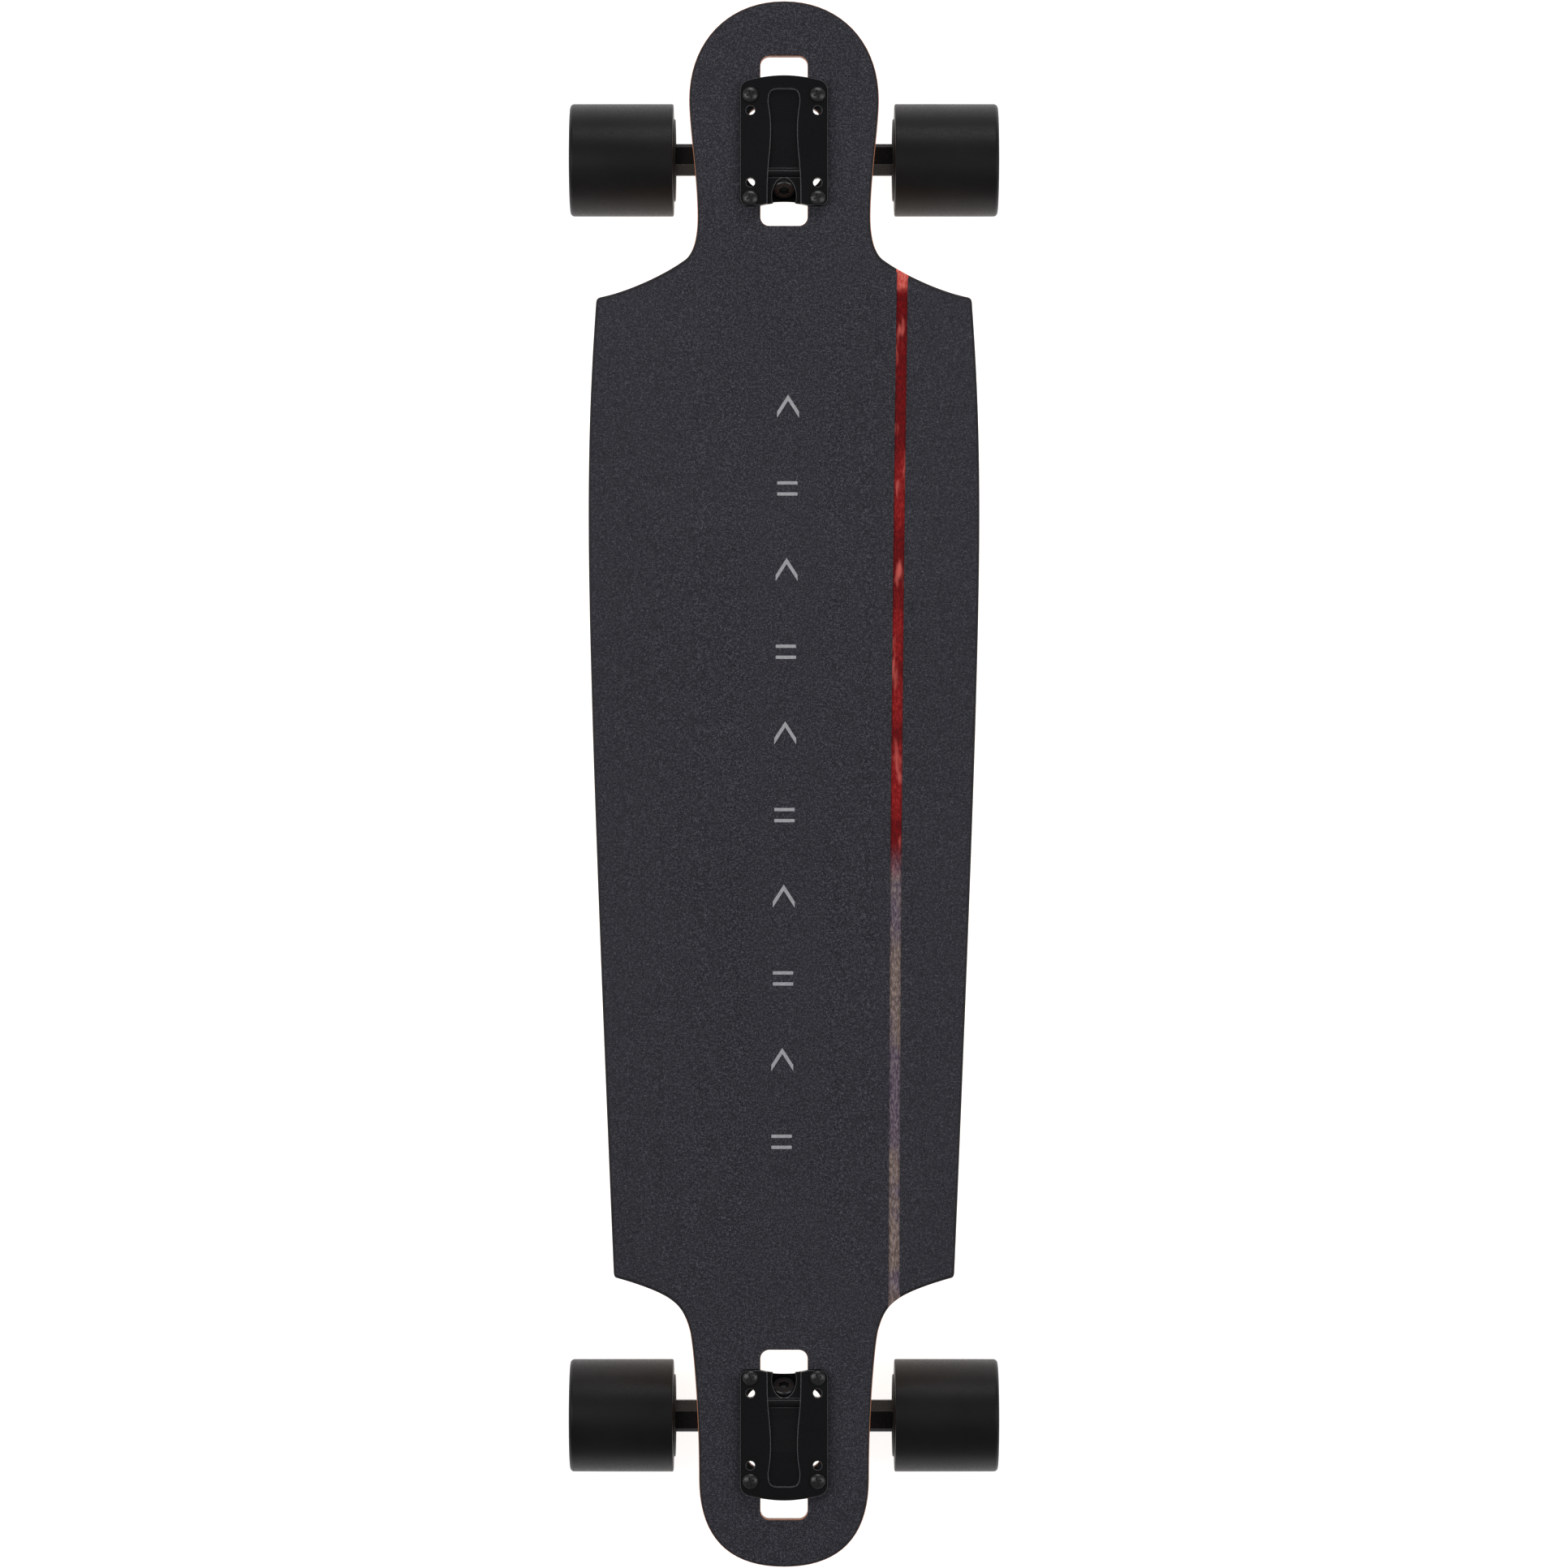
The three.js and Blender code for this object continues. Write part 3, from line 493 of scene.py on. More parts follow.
# %% Core
bearing_radius = measure(f"{first}_inner_bearing", hub_place, (1, 0, 0))[2]
inner_low, inner_high, _ = measure(f"{first}_inner_bearing", hub_place, (1, 0, 0))
outer_low, outer_high, _ = measure(f"{first}_outer_bearing", hub_place, (1, 0, 0))
seat = bearing_radius + 0.12 * mm
mouth = 13.6 * mm
flange = seat - 1.6 * mm
core_section = [
    (core_in, mouth + 0.5 * mm), (core_in, core_radius),
    (core_out, core_radius), (core_out, mouth + 0.5 * mm),
    (outer_high + 0.4 * mm, mouth - 0.8 * mm), (outer_high + 0.2 * mm, seat),
    (outer_low - 0.05 * mm, seat), (outer_low - 0.05 * mm, flange),
    (inner_high + 0.05 * mm, flange), (inner_high + 0.05 * mm, seat),
    (inner_low - 0.2 * mm, seat), (inner_low - 0.4 * mm, mouth - 0.8 * mm),
]
core_model = turned("core_model", core_section, steps=80, edge=0.25 * mm)
pocket_count = 10
distance = (mouth + core_radius) / 2 + 0.4 * mm
for i in range(pocket_count):
    turn = 2 * math.pi * i / pocket_count
    place = (core_out, distance * math.sin(turn), distance * math.cos(turn))
    bpy.ops.mesh.primitive_cylinder_add(vertices=20, radius=2.1 * mm, depth=12 * mm, location=place,
                                        rotation=(0, math.pi / 2, 0))
    cut(core_model, bpy.context.object)
print("core with", pocket_count, "pockets,", len(core_model.data.polygons), "faces")

# %% [markdown]
# A 608 bearing shows three rings at its face: the outer race, a coloured shield set a little back, and
# the inner race. They could be three pieces, but nothing moves between them here. One section with two
# shallow steps gives all three, and the shield's faces then get a finish of their own by their
# distance from the axis.

# %% Bearing
bearing_width = inner_high - inner_low
bore_radius = 4.12 * mm
step_back = 0.45 * mm
race = [(0, bore_radius), (0, 6.0 * mm), (step_back, 6.15 * mm),
        (step_back, 9.35 * mm), (0, 9.5 * mm), (0, bearing_radius)]
bearing_section = race + [(bearing_width - x, r) for x, r in reversed(race)]
bearing_model = turned("bearing_model", bearing_section, steps=72, edge=0.12 * mm)
bearing_model.data.materials.append(race_steel)
bearing_model.data.materials.append(shield_rubber)
for face in bearing_model.data.polygons:
    away = math.hypot(face.center.y, face.center.z)
    face.material_index = int(abs(face.normal.x) > 0.9 and 6.3 * mm < away < 9.3 * mm)
print("bearing", round(bearing_width / mm, 2), "mm wide")

# %% [markdown]
# Nuts are six-sided bars with their corners turned off at 30 degrees. So a hexagonal prism is
# intersected with a spun shape whose ends are chamfered, then joined to the collar that holds the
# nylon ring, and its bore is cut last.

# %% Nuts


def hex_nut(name, low, high, flats, bore_size, collar):
    """A lock nut along +X from low to high, its nylon collar at the far end."""
    clear()
    body_high = high - collar
    bpy.ops.mesh.primitive_cylinder_add(vertices=6, radius=flats / 2 / math.cos(math.pi / 6),
                                        depth=body_high - low, location=((low + body_high) / 2, 0, 0),
                                        rotation=(0, math.pi / 2, 0))
    nut = settle(bpy.context.object)
    nut.name = name
    chamfer = flats * 0.07
    cone = turned(f"{name}_chamfer", [
        (low, 0), (low, flats / 2 - chamfer * 0.2), (low + chamfer, flats / 2 + chamfer * 1.9),
        (body_high - chamfer, flats / 2 + chamfer * 1.9), (body_high, flats / 2 - chamfer * 0.2),
        (body_high, 0)], steps=48, closed=False)
    cut(nut, cone, "INTERSECT")
    ring_out = flats / 2 - 0.9 * chamfer
    ring_section = [(body_high - chamfer, bore_size), (body_high - chamfer, ring_out),
                    (high - collar * 0.35, ring_out), (high, ring_out - collar * 0.45),
                    (high, bore_size)]
    ring = turned(f"{name}_collar", ring_section, steps=48)
    cut(nut, ring, "UNION")
    drill = turned(f"{name}_bore", [(low - mm, 0), (low - mm, bore_size),
                                    (high + mm, bore_size), (high + mm, 0)], steps=32, closed=False)
    cut(nut, drill)
    return nut


axle_radius = measure("front_axle", hub_place, (1, 0, 0))[2]
nut_low, nut_high, nut_corner = measure(f"{first}_axle_nut", hub_place, (1, 0, 0))
axle_nut_flats = nut_corner * math.sqrt(3)
axle_nut_model = hex_nut("axle_nut_model", nut_low, nut_high, axle_nut_flats,
                         axle_radius + 0.1 * mm, 2 * mm)
print("axle nut", round(axle_nut_flats / mm, 1), "mm across flats")

# %% [markdown]
# Speed rings and the spacer between the bearings are small turned rings, with edges broken so that
# they catch the light. The rings sit either side of the bearings, and the spacer between them keeps
# the bearings apart when the axle nut is tightened.

# %% Speed ring and spacer
ring_width = nut_low - outer_high
ring_model = turned("ring_model", [
    (0.05 * mm, axle_radius + 0.2 * mm), (0.05 * mm, 6 * mm), (ring_width - 0.05 * mm, 6 * mm),
    (ring_width - 0.05 * mm, axle_radius + 0.2 * mm)], steps=48, edge=0.12 * mm)
spacer_model = turned("spacer_model", [
    (inner_high + 0.05 * mm, axle_radius + 0.2 * mm), (inner_high + 0.05 * mm, 5.2 * mm),
    (outer_low - 0.05 * mm, 5.2 * mm), (outer_low - 0.05 * mm, axle_radius + 0.2 * mm)],
    steps=48, edge=0.15 * mm)
print("speed ring", round(ring_width / mm, 2), "mm")

# %% [markdown]
# Each wheel is now put together from the same models. The right-hand wheels take them as drawn, and
# the left-hand ones turn them half round, because a tyre's sharp edge always faces the deck. Copies
# are turned rather than mirrored, since a mirrored mesh is inside out. Speed rings and axle nuts stay
# with the hanger, and all the rest rides on the wheel.

# %% Place the wheels
for side_name, sign in sides.items():
    wheel_name = f"{side_name}_wheel"
    truck_name = side_name.split("_")[0]
    axle_place = middle(f"{wheel_name}_tyre")
    axle_place.x = 0
    outward = (sign, 0, 0)
    tyre = copy_of(tyre_model, f"{wheel_name}_cast_tyre", axle_place, outward)
    hand_over(tyre, wheel_name, "wheel_urethane", urethane, f"{wheel_name}_tyre")
    core = copy_of(core_model, f"{wheel_name}_ribbed_core", axle_place, outward)
    hand_over(core, wheel_name, "hub_plastic", hub_nylon, f"{wheel_name}_core")
    for word, start in (("inner", inner_low), ("outer", outer_low)):
        place = axle_place + Vector(outward) * start
        bearing = copy_of(bearing_model, f"{wheel_name}_{word}_shielded_bearing", place, outward)
        hand_over(bearing, wheel_name, "bearing_steel", None, f"{wheel_name}_{word}_bearing")
    spacer = copy_of(spacer_model, f"{wheel_name}_spacer", axle_place, outward)
    hand_over(spacer, wheel_name, "bright_steel", bright_steel)
    for word, start in (("inner", inner_low - ring_width), ("outer", outer_high)):
        place = axle_place + Vector(outward) * start
        speed_ring = copy_of(ring_model, f"{wheel_name}_{word}_speed_ring", place, outward)
        hand_over(speed_ring, f"{truck_name}_hanger", "bright_steel", bright_steel)
    nut = copy_of(axle_nut_model, f"{wheel_name}_chamfered_nut", axle_place, outward)
    hand_over(nut, f"{truck_name}_hanger", "black_steel", black_steel, f"{wheel_name}_axle_nut")
for model in (tyre_model, core_model, bearing_model, ring_model, spacer_model, axle_nut_model):
    bpy.data.objects.remove(model)
print("four wheels placed")

# %% [markdown]
# ## Trucks
# The castings keep the frame's shape, which already has the sloping seat, the pivot's tower and the
# sloped arms, so nothing is modelled again. A cast edge is never sharp, so each casting is welded and
# gets a narrow bevel, and its normals follow the bevel so that the flats stay flat. Both stay live
# modifiers, because the frame's own meshes are left alone.

# %% Castings
casting_edge = 0.55 * mm
for truck_name in ("front", "rear"):
    for part, look in (("baseplate", casting), ("hanger", casting), ("pivot_cup", rubber)):
        node = frame["nodes"][f"{truck_name}_{part}"]
        weld = node.modifiers.new("weld", "WELD")
        weld.merge_threshold = 0.01 * mm
        edge = node.modifiers.new("edge", "BEVEL")
        edge.width = casting_edge if part != "pivot_cup" else 0.2 * mm
        edge.segments = 2
        edge.limit_method = "ANGLE"
        edge.angle_limit = math.radians(30)
        edge.harden_normals = True
        edge.use_clamp_overlap = True
        node.data.materials.clear()
        node.data.materials.append(look)
print("castings softened by", round(casting_edge / mm, 2), "mm")

# %% [markdown]
# The stack on each kingpin is turned: a hexagon-socket head, two cupped washers, two bushings and a
# lock nut. The bushings are a barrel on the board's side and a cone on the road's side, as they are
# usually sold. Everything is modelled along +X from the middle of the hanger's ring and then laid
# along the kingpin, which is square to the steering axis. A bushing is what the truck steers against:
# the end at the ring leans with the hanger, and the end at the washer stays with the board, so each
# one is kept out of both bodies and has rings enough to bend smoothly.

# %% Kingpin stack
steering = {joint["name"]: joint for joint in frame["joints"]}


def kingpin_line(truck_name):
    """The middle of the hanger's ring, and the kingpin's direction away from its head."""
    joint = steering[f"{truck_name}_steering"]
    axis = Vector(joint["axis"])
    return Vector(joint["pos_m"]), Vector((0, math.copysign(axis.z, axis.y), -abs(axis.y)))


ring_place, pin_line = kingpin_line("front")
pin_low, pin_high, head_radius = measure("front_kingpin", ring_place, pin_line)
head_height = 6 * mm
shank_radius = 4.6 * mm
thread_pitch = 1.25 * mm


def thread(start, end, radius, pitch, depth):
    """A saw-tooth run of a section, for the threads of a turned piece."""
    points = []
    count = int((end - start) / pitch)
    for i in range(count):
        points += [(start + i * pitch, radius - depth), (start + (i + 0.5) * pitch, radius)]
    return points


kingpin_section = [
    (pin_low, 0), (pin_low, head_radius - 0.5 * mm), (pin_low + 0.5 * mm, head_radius),
    (pin_low + head_height - 0.4 * mm, head_radius),
    (pin_low + head_height - 0.4 * mm, shank_radius), (0, shank_radius),
    *thread(12 * mm, pin_high - 1.2 * mm, shank_radius, thread_pitch, 0.55 * mm),
    (pin_high - 1 * mm, shank_radius - 0.6 * mm), (pin_high, shank_radius - 1.3 * mm), (pin_high, 0)]
kingpin_model = turned("kingpin_model", kingpin_section, steps=48, closed=False)
socket = turned("socket", [(pin_low - mm, 0), (pin_low - mm, 3.6 * mm), (pin_low + 3.4 * mm, 3.6 * mm),
                           (pin_low + 4.4 * mm, 0)], steps=6, closed=False)
cut(kingpin_model, socket)

washer_low, washer_high, washer_radius = measure("front_roadside_washer", ring_place, pin_line)
bushing_low, bushing_high, bushing_radius = measure("front_roadside_bushing", ring_place, pin_line)
sheet = 0.9 * mm
hole = shank_radius + 0.25 * mm
washer_model = turned("washer_model", [
    (washer_high, hole), (washer_high, washer_radius - 1.4 * mm),
    (washer_high - 0.5 * mm, washer_radius - 0.3 * mm), (washer_low, washer_radius),
    (washer_low, washer_radius - sheet), (washer_high - sheet - 0.1 * mm, washer_radius - 2 * mm),
    (washer_high - sheet, hole)], steps=64, edge=0.2 * mm)
rocking = 2.3 * mm


def bushing_section(shoulder, end_radius, rings=8):
    """A bushing's wall in short steps, so that it bends, and a bore that rocks clear of the shank."""
    outside, bore = [], []
    height = bushing_high - bushing_low
    for i in range(rings + 1):
        along = height * i / rings
        narrowing = max(0, along - shoulder) / (height - shoulder)
        radius = bushing_radius + (end_radius - bushing_radius) * narrowing
        outside.append((bushing_low + along, radius))
        bore.append((bushing_low + along, hole + rocking * min(1, 2 - 2 * along / height)))
    return outside + bore[::-1]


cone_section = bushing_section(2.5 * mm, bushing_radius - 3 * mm)
barrel_section = bushing_section(0, bushing_radius)
cone_model = turned("cone_model", cone_section, steps=64, edge=0.8 * mm, segments=4)
barrel_model = turned("barrel_model", barrel_section, steps=64, edge=0.9 * mm, segments=4)
stack_nut_low, stack_nut_high, stack_corner = measure("front_kingpin_nut", ring_place, pin_line)
stack_nut_model = hex_nut("stack_nut_model", stack_nut_low, stack_nut_high, stack_corner * math.sqrt(3),
                          shank_radius + 0.1 * mm, 2.4 * mm)
print("kingpin", round((pin_high - pin_low) / mm, 1), "mm long")

# %% [markdown]
# The boardside washer is the roadside one turned end for end about the ring's middle, and the barrel
# points the same way. Kingpin, nut and washers ride on the board. Only the bushings cross the joint.

# %% Place the stacks
stack_looks = {"black_steel": black_steel, "bright_steel": bright_steel,
               "bushing_urethane": bushing_urethane}
for truck_name in ("front", "rear"):
    place, line = kingpin_line(truck_name)
    stack = [
        ("kingpin", kingpin_model, line, "socket_kingpin", "black_steel"),
        ("kingpin_nut", stack_nut_model, line, "chamfered_kingpin_nut", "black_steel"),
        ("roadside_washer", washer_model, line, "roadside_cupped_washer", "bright_steel"),
        ("boardside_washer", washer_model, -line, "boardside_cupped_washer", "bright_steel"),
        ("roadside_bushing", cone_model, line, "roadside_cone_bushing", "bushing_urethane"),
        ("boardside_bushing", barrel_model, -line, "boardside_barrel_bushing", "bushing_urethane"),
    ]
    for node, model, direction, name, slot_name in stack:
        piece = copy_of(model, f"{truck_name}_{name}", place, direction)
        bends = slot_name == "bushing_urethane"
        hand_over(piece, None if bends else "board", slot_name, stack_looks[slot_name],
                  f"{truck_name}_{node}")
        if bends:
            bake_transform(piece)
for model in (kingpin_model, stack_nut_model, washer_model, cone_model, barrel_model):
    bpy.data.objects.remove(model)
print("both stacks placed")

# %% [markdown]
# The axle is one 8 mm rod right through the hanger, threaded at its ends. A true helix wouldn't show at
# this size, so the thread is a run of rings, and the section is mirrored in code, so both ends get the
# same one.

# %% Axles
axle_low, axle_high, _ = measure("front_axle", hub_place, (1, 0, 0))
half_section = [(nut_low - 2 * mm, axle_radius - 0.05 * mm),
                *thread(nut_low - 1 * mm, axle_high - 1 * mm, axle_radius, 0.8 * mm, 0.4 * mm),
                (axle_high - 0.7 * mm, axle_radius - 0.3 * mm),
                (axle_high, axle_radius - 1 * mm), (axle_high, 0)]
axle_section = [(-x, r) for x, r in reversed(half_section)] + half_section
axle_model = turned("axle_model", axle_section, steps=40, closed=False)
for truck_name in ("front", "rear"):
    axle = copy_of(axle_model, f"{truck_name}_threaded_axle", middle(f"{truck_name}_axle"))
    hand_over(axle, f"{truck_name}_hanger", "bright_steel", bright_steel, f"{truck_name}_axle")
bpy.data.objects.remove(axle_model)
print("axles", round((axle_high - axle_low) / mm, 1), "mm")

# %% [markdown]
# ## Bolts and lock nuts
# The baseplates are held by black machine screws with domed heads and a cross recess. The head is
# spun, and the recess is cut with two crossed blades that narrow as they go in, as a driver's tip does.
# A dark cross in the material would be quicker, but wouldn't catch the light on its walls.
# The head looks up, so the screw is modelled along +X from under its head and then stood on end.

# %% Mounting bolts
bolt_place = middle("front_bolt_1")
bolt_place.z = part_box("front_baseplate")[1].z
bolt_low, head_top, bolt_head_radius = measure("front_bolt_1", bolt_place, (0, 0, 1))
bolt_radius = 2.4 * mm
dome = 8
head_section = [(0.12 * mm, bolt_radius), (0.12 * mm, bolt_head_radius - 0.25 * mm)]
for i in range(dome + 1):
    turn = math.radians(90) * i / dome
    rise = 0.7 * mm + (head_top - 0.72 * mm) * math.sin(turn)
    head_section.append((rise, bolt_head_radius * math.cos(turn) ** 0.8))
head_section[-1] = (head_top - 0.02 * mm, 0)
bolt_section = [(bolt_low, 0), (bolt_low, bolt_radius - 0.5 * mm),
                *thread(bolt_low + 0.5 * mm, -7 * mm, bolt_radius, 0.8 * mm, 0.35 * mm),
                (-6.5 * mm, bolt_radius), *head_section]
bolt_model = turned("bolt_model", bolt_section, steps=40, closed=False)
recess_depth = 1.9 * mm
for turn in (0, math.pi / 2):
    clear()
    bpy.ops.mesh.primitive_cube_add(size=1, location=(head_top - recess_depth / 2 + 0.5 * mm, 0, 0))
    blade = bpy.context.object
    blade.scale = (recess_depth + 1 * mm, 1.05 * mm, 5.2 * mm)
    settle(blade)
    bpy.ops.object.mode_set(mode="EDIT")
    bpy.ops.mesh.select_all(action="DESELECT")
    bpy.ops.object.mode_set(mode="OBJECT")
    for vertex in blade.data.vertices:
        vertex.select = vertex.co.x < head_top - recess_depth
    bpy.ops.object.mode_set(mode="EDIT")
    bpy.ops.transform.resize(value=(1, 0.6, 0.4))
    bpy.ops.object.mode_set(mode="OBJECT")
    blade.rotation_euler.x = turn + math.radians(20)
    cut(bolt_model, settle(blade))
print("bolt head", round(bolt_head_radius * 2 / mm, 1), "mm,", len(bolt_model.data.polygons), "faces")

# %% [markdown]
# A lock nut sits on each bolt's end, under the deck. It is the same kind of nut as on the axles, so it
# comes from the same helper, and bolt and nut are copied to the eight places that the frame gives.

# %% Lock nuts
plate_nut_low, plate_nut_high, plate_nut_corner = measure("front_lock_nut_1", bolt_place, (0, 0, -1))
lock_nut_model = hex_nut("lock_nut_model", plate_nut_low, plate_nut_high,
                         plate_nut_corner * math.sqrt(3), bolt_radius + 0.1 * mm, 1.8 * mm)
for truck_name in ("front", "rear"):
    for number in range(1, 5):
        place = middle(f"{truck_name}_bolt_{number}")
        place.z = bolt_place.z
        bolt = copy_of(bolt_model, f"{truck_name}_cross_head_bolt_{number}", place, (0, 0, 1))
        hand_over(bolt, "board", "black_steel", black_steel, f"{truck_name}_bolt_{number}")
        nut = copy_of(lock_nut_model, f"{truck_name}_plate_lock_nut_{number}", place, (0, 0, -1))
        hand_over(nut, "board", "black_steel", black_steel, f"{truck_name}_lock_nut_{number}")
for model in (bolt_model, lock_nut_model):
    bpy.data.objects.remove(model)
print("eight bolts and nuts placed")

# %% [markdown]
# ## Deck
# The deck is pressed from veneers and then routed to its outline. The same two steps make it here. A
# closed curve gives the outline, with the two drop-through openings as further loops, and its
# extrusion and bevel give the thickness and the rounded edge. The flat plank is sliced by a grid of
# planes, so that it can bend, and is then lifted towards its rails: the dish fades out before the
# trucks, where the deck has to be flat. A subdivided box could be pushed into this outline too, but
# its shoulders and long straight runs are easier to keep true with a few handles on a curve.

# %% The deck's outline
deck_low, deck_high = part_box("deck")
half_length = deck_high.y
half_width = deck_high.x
tip = half_width - 61.8 * mm
roundness = 0.5523  # how far a handle reaches towards the corner, for a near-circular round


def deck_loop(inset=0.0):
    """Anchors of the deck's edge: (point, handle before, handle after), nose to tail and back."""
    half, rail, nose = half_length - inset, half_width - inset, tip - inset
    m = mm
    right = [
        [(0, half)],
        [(0.6 * nose, half), (nose, 457 * m), (nose, 422 * m)],
        [(nose, 405 * m), (nose - 5.1 * m, 375 * m), (nose - 5.2 * m, 350 * m)],
        [(nose - 5.2 * m, 328 * m), (nose + 1.5 * m, 323.5 * m - inset),
         (nose + 3.8 * m, 322.2 * m - inset)],
        [(nose + 13.5 * m, 315 * m - inset), (rail - 25.3 * m, 303.5 * m - inset),
         (rail - 7 * m, 299.8 * m - inset)],
        [(rail - 4.8 * m, 299 * m - inset), (rail - 4.6 * m, 298 * m), (rail - 4.4 * m, 295 * m)],
        [(rail - 1.4 * m, 250 * m), (rail, 215 * m), (rail, 165 * m)],
        [(rail, 60 * m), (rail - 9.3 * m, -150 * m), (rail - 15.3 * m, -300 * m)],
        [(rail - 15.5 * m, -303 * m), (rail - 15.8 * m, -304 * m + inset),
         (rail - 17.5 * m, -304.4 * m + inset)],
        [(rail - 30.3 * m, -308 * m + inset), (nose + 17.5 * m, -313 * m + inset),
         (nose + 11.3 * m, -317.7 * m + inset)],
        [(nose + 4.5 * m, -322.5 * m + inset), (nose + 2 * m, -328 * m), (nose - 0.5 * m, -337 * m)],
        [(nose - 2.5 * m, -346 * m), (nose - 6.2 * m, -385 * m), (nose - 6.1 * m, -428 * m)],
        [(nose - 6.1 * m, -464 * m), (0.59 * nose, -half), (0, -half)],
    ]
    anchors = []
    for here, after in zip(right, right[1:]):
        before = here[1] if len(here) > 1 else (-after[0][0], after[0][1])
        anchors.append((here[-1], before, after[0]))
    tail = right[-1]
    anchors.append((tail[-1], tail[1], (-tail[1][0], tail[1][1])))
    mirrored = [((-p[0], p[1]), (-b[0], b[1]), (-a[0], a[1])) for p, a, b in reversed(anchors[1:-1])]
    return anchors + mirrored


# %% [markdown]
# The openings, knives and marks are simpler shapes: polygons with rounded corners. A corner becomes
# two anchors with their handles towards it, which is how a curve draws a quarter round. A flat closed
# curve with other loops inside it fills itself and leaves them open, so no boolean is needed to make a
# plank with holes, and the curve's own bevel rounds every edge at once.

# %% Loops and planks


def rounded_loop(corners):
    """Anchors of a polygon whose corners are (x, y, radius)."""
    anchors = []
    for i, (x, y, radius) in enumerate(corners):
        corner = Vector((x, y))
        before = Vector(corners[i - 1][:2])
        after = Vector(corners[(i + 1) % len(corners)][:2])
        if radius == 0:
            anchors.append((corner, corner, corner))
            continue
        start = corner + (before - corner).normalized() * radius
        end = corner + (after - corner).normalized() * radius
        anchors.append((start, start, start + (corner - start) * roundness))
        anchors.append((end, end + (corner - end) * roundness, end))
    return anchors


def moved(loop, place, half_turn):
    sign = -1 if half_turn else 1
    return [tuple((sign * p[0], place + sign * p[1]) for p in anchor) for anchor in loop]


def plank(name, loops, low, high, edge=0.0, fineness=14):
    """A flat board between two heights, from closed loops of anchors; later loops are holes."""
    clear()
    bpy.ops.curve.primitive_bezier_circle_add(location=(0, 0, 0))
    board = bpy.context.object
    board.name = name
    curve = board.data
    curve.splines.clear()
    for loop in loops:
        spline = curve.splines.new("BEZIER")
        spline.bezier_points.add(len(loop) - 1)
        spline.use_cyclic_u = True
        for point, (place, before, after) in zip(spline.bezier_points, loop):
            point.handle_left_type = point.handle_right_type = "FREE"
            point.co = (*place, 0)
            point.handle_left = (*before, 0)
            point.handle_right = (*after, 0)
    curve.dimensions = "2D"
    curve.fill_mode = "BOTH"
    curve.resolution_u = fineness
    curve.extrude = (high - low) / 2 - edge
    curve.bevel_depth = edge
    curve.bevel_resolution = 3
    curve.offset = -edge
    board.location.z = (low + high) / 2
    pick(board)
    bpy.ops.object.convert(target="MESH")
    settle(board)
    bpy.ops.object.mode_set(mode="EDIT")
    bpy.ops.mesh.select_all(action="SELECT")
    bpy.ops.mesh.remove_doubles(threshold=1e-6)
    bpy.ops.mesh.normals_make_consistent(inside=False)
    bpy.ops.object.mode_set(mode="OBJECT")
    return board


# %% [markdown]
# The dish is a shallow parabola across the deck, 6 mm higher at the rails, blended to nothing between
# the standing area and the necks. Each piece that lies on the deck goes through the same function.
# A lattice could bend it as well, but a formula gives deck and grip the same curve with no gap. Before
# it is bent, the height of each vertex is kept in an attribute, so that the veneers' lines can follow
# the bent plank round its edge.

# %% Slice and dish
dish_rise = 6 * mm
dish_end = 345 * mm
dish_full = 235 * mm


def lifted(x, y):
    away = min(max((dish_end - abs(y)) / (dish_end - dish_full), 0), 1)
    return dish_rise * (x / half_width) ** 2 * away * away * (3 - 2 * away)


def slice_and_dish(piece, columns=26, rows=14):
    pick(piece)
    bpy.ops.object.mode_set(mode="EDIT")
    planes = [((half_width * (2 * i / columns - 1), 0, 0), (1, 0, 0)) for i in range(1, columns)]
    for i in range(rows + 1):
        y = dish_full + (dish_end - dish_full) * i / rows
        planes += [((0, y, 0), (0, 1, 0)), ((0, -y, 0), (0, 1, 0))]
    for place, normal in planes:
        bpy.ops.mesh.select_all(action="SELECT")
        bpy.ops.mesh.bisect(plane_co=place, plane_no=normal)
    bpy.ops.object.mode_set(mode="OBJECT")
    layer = piece.data.attributes.new("layer", "FLOAT", "POINT")
    for i, vertex in enumerate(piece.data.vertices):
        layer.data[i].value = vertex.co.z
        vertex.co.z += lifted(vertex.co.x, vertex.co.y)
    smooth(piece, 28)


# %% [markdown]
# A drop-through deck has an opening for each truck, a slot with a wide waist, and the baseplate lies
# over it on the deck's top. Both outlines are drawn once about a truck's middle, can be grown a
# little for the knives that cut the grip, and are turned half round for the rear.

# %% Openings and baseplate outline
plate_inner, plate_outer, plate_side = 36.3 * mm, 43.8 * mm, 27 * mm
truck_middles = {
    "front": (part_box("front_baseplate")[0].y + plate_inner, False),
    "rear": (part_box("rear_baseplate")[1].y - plate_inner, True),
}


def opening_loop(grow=0.0):
    """The drop-through opening about a truck's middle: a narrow slot with a wide waist."""
    end_x, waist_x, waist_y = 14.5 * mm + grow, 23 * mm + grow, 24.8 * mm + grow
    outer, inner = 56.25 * mm + grow, -48.25 * mm - grow
    small, large = 5.5 * mm, 8.4 * mm
    half = [(end_x, outer, small), (end_x, waist_y, 0), (waist_x, waist_y, large),
            (waist_x, -waist_y, large), (end_x, -waist_y, 0), (end_x, inner, small)]
    return rounded_loop(half + [(-x, y, r) for x, y, r in reversed(half)])


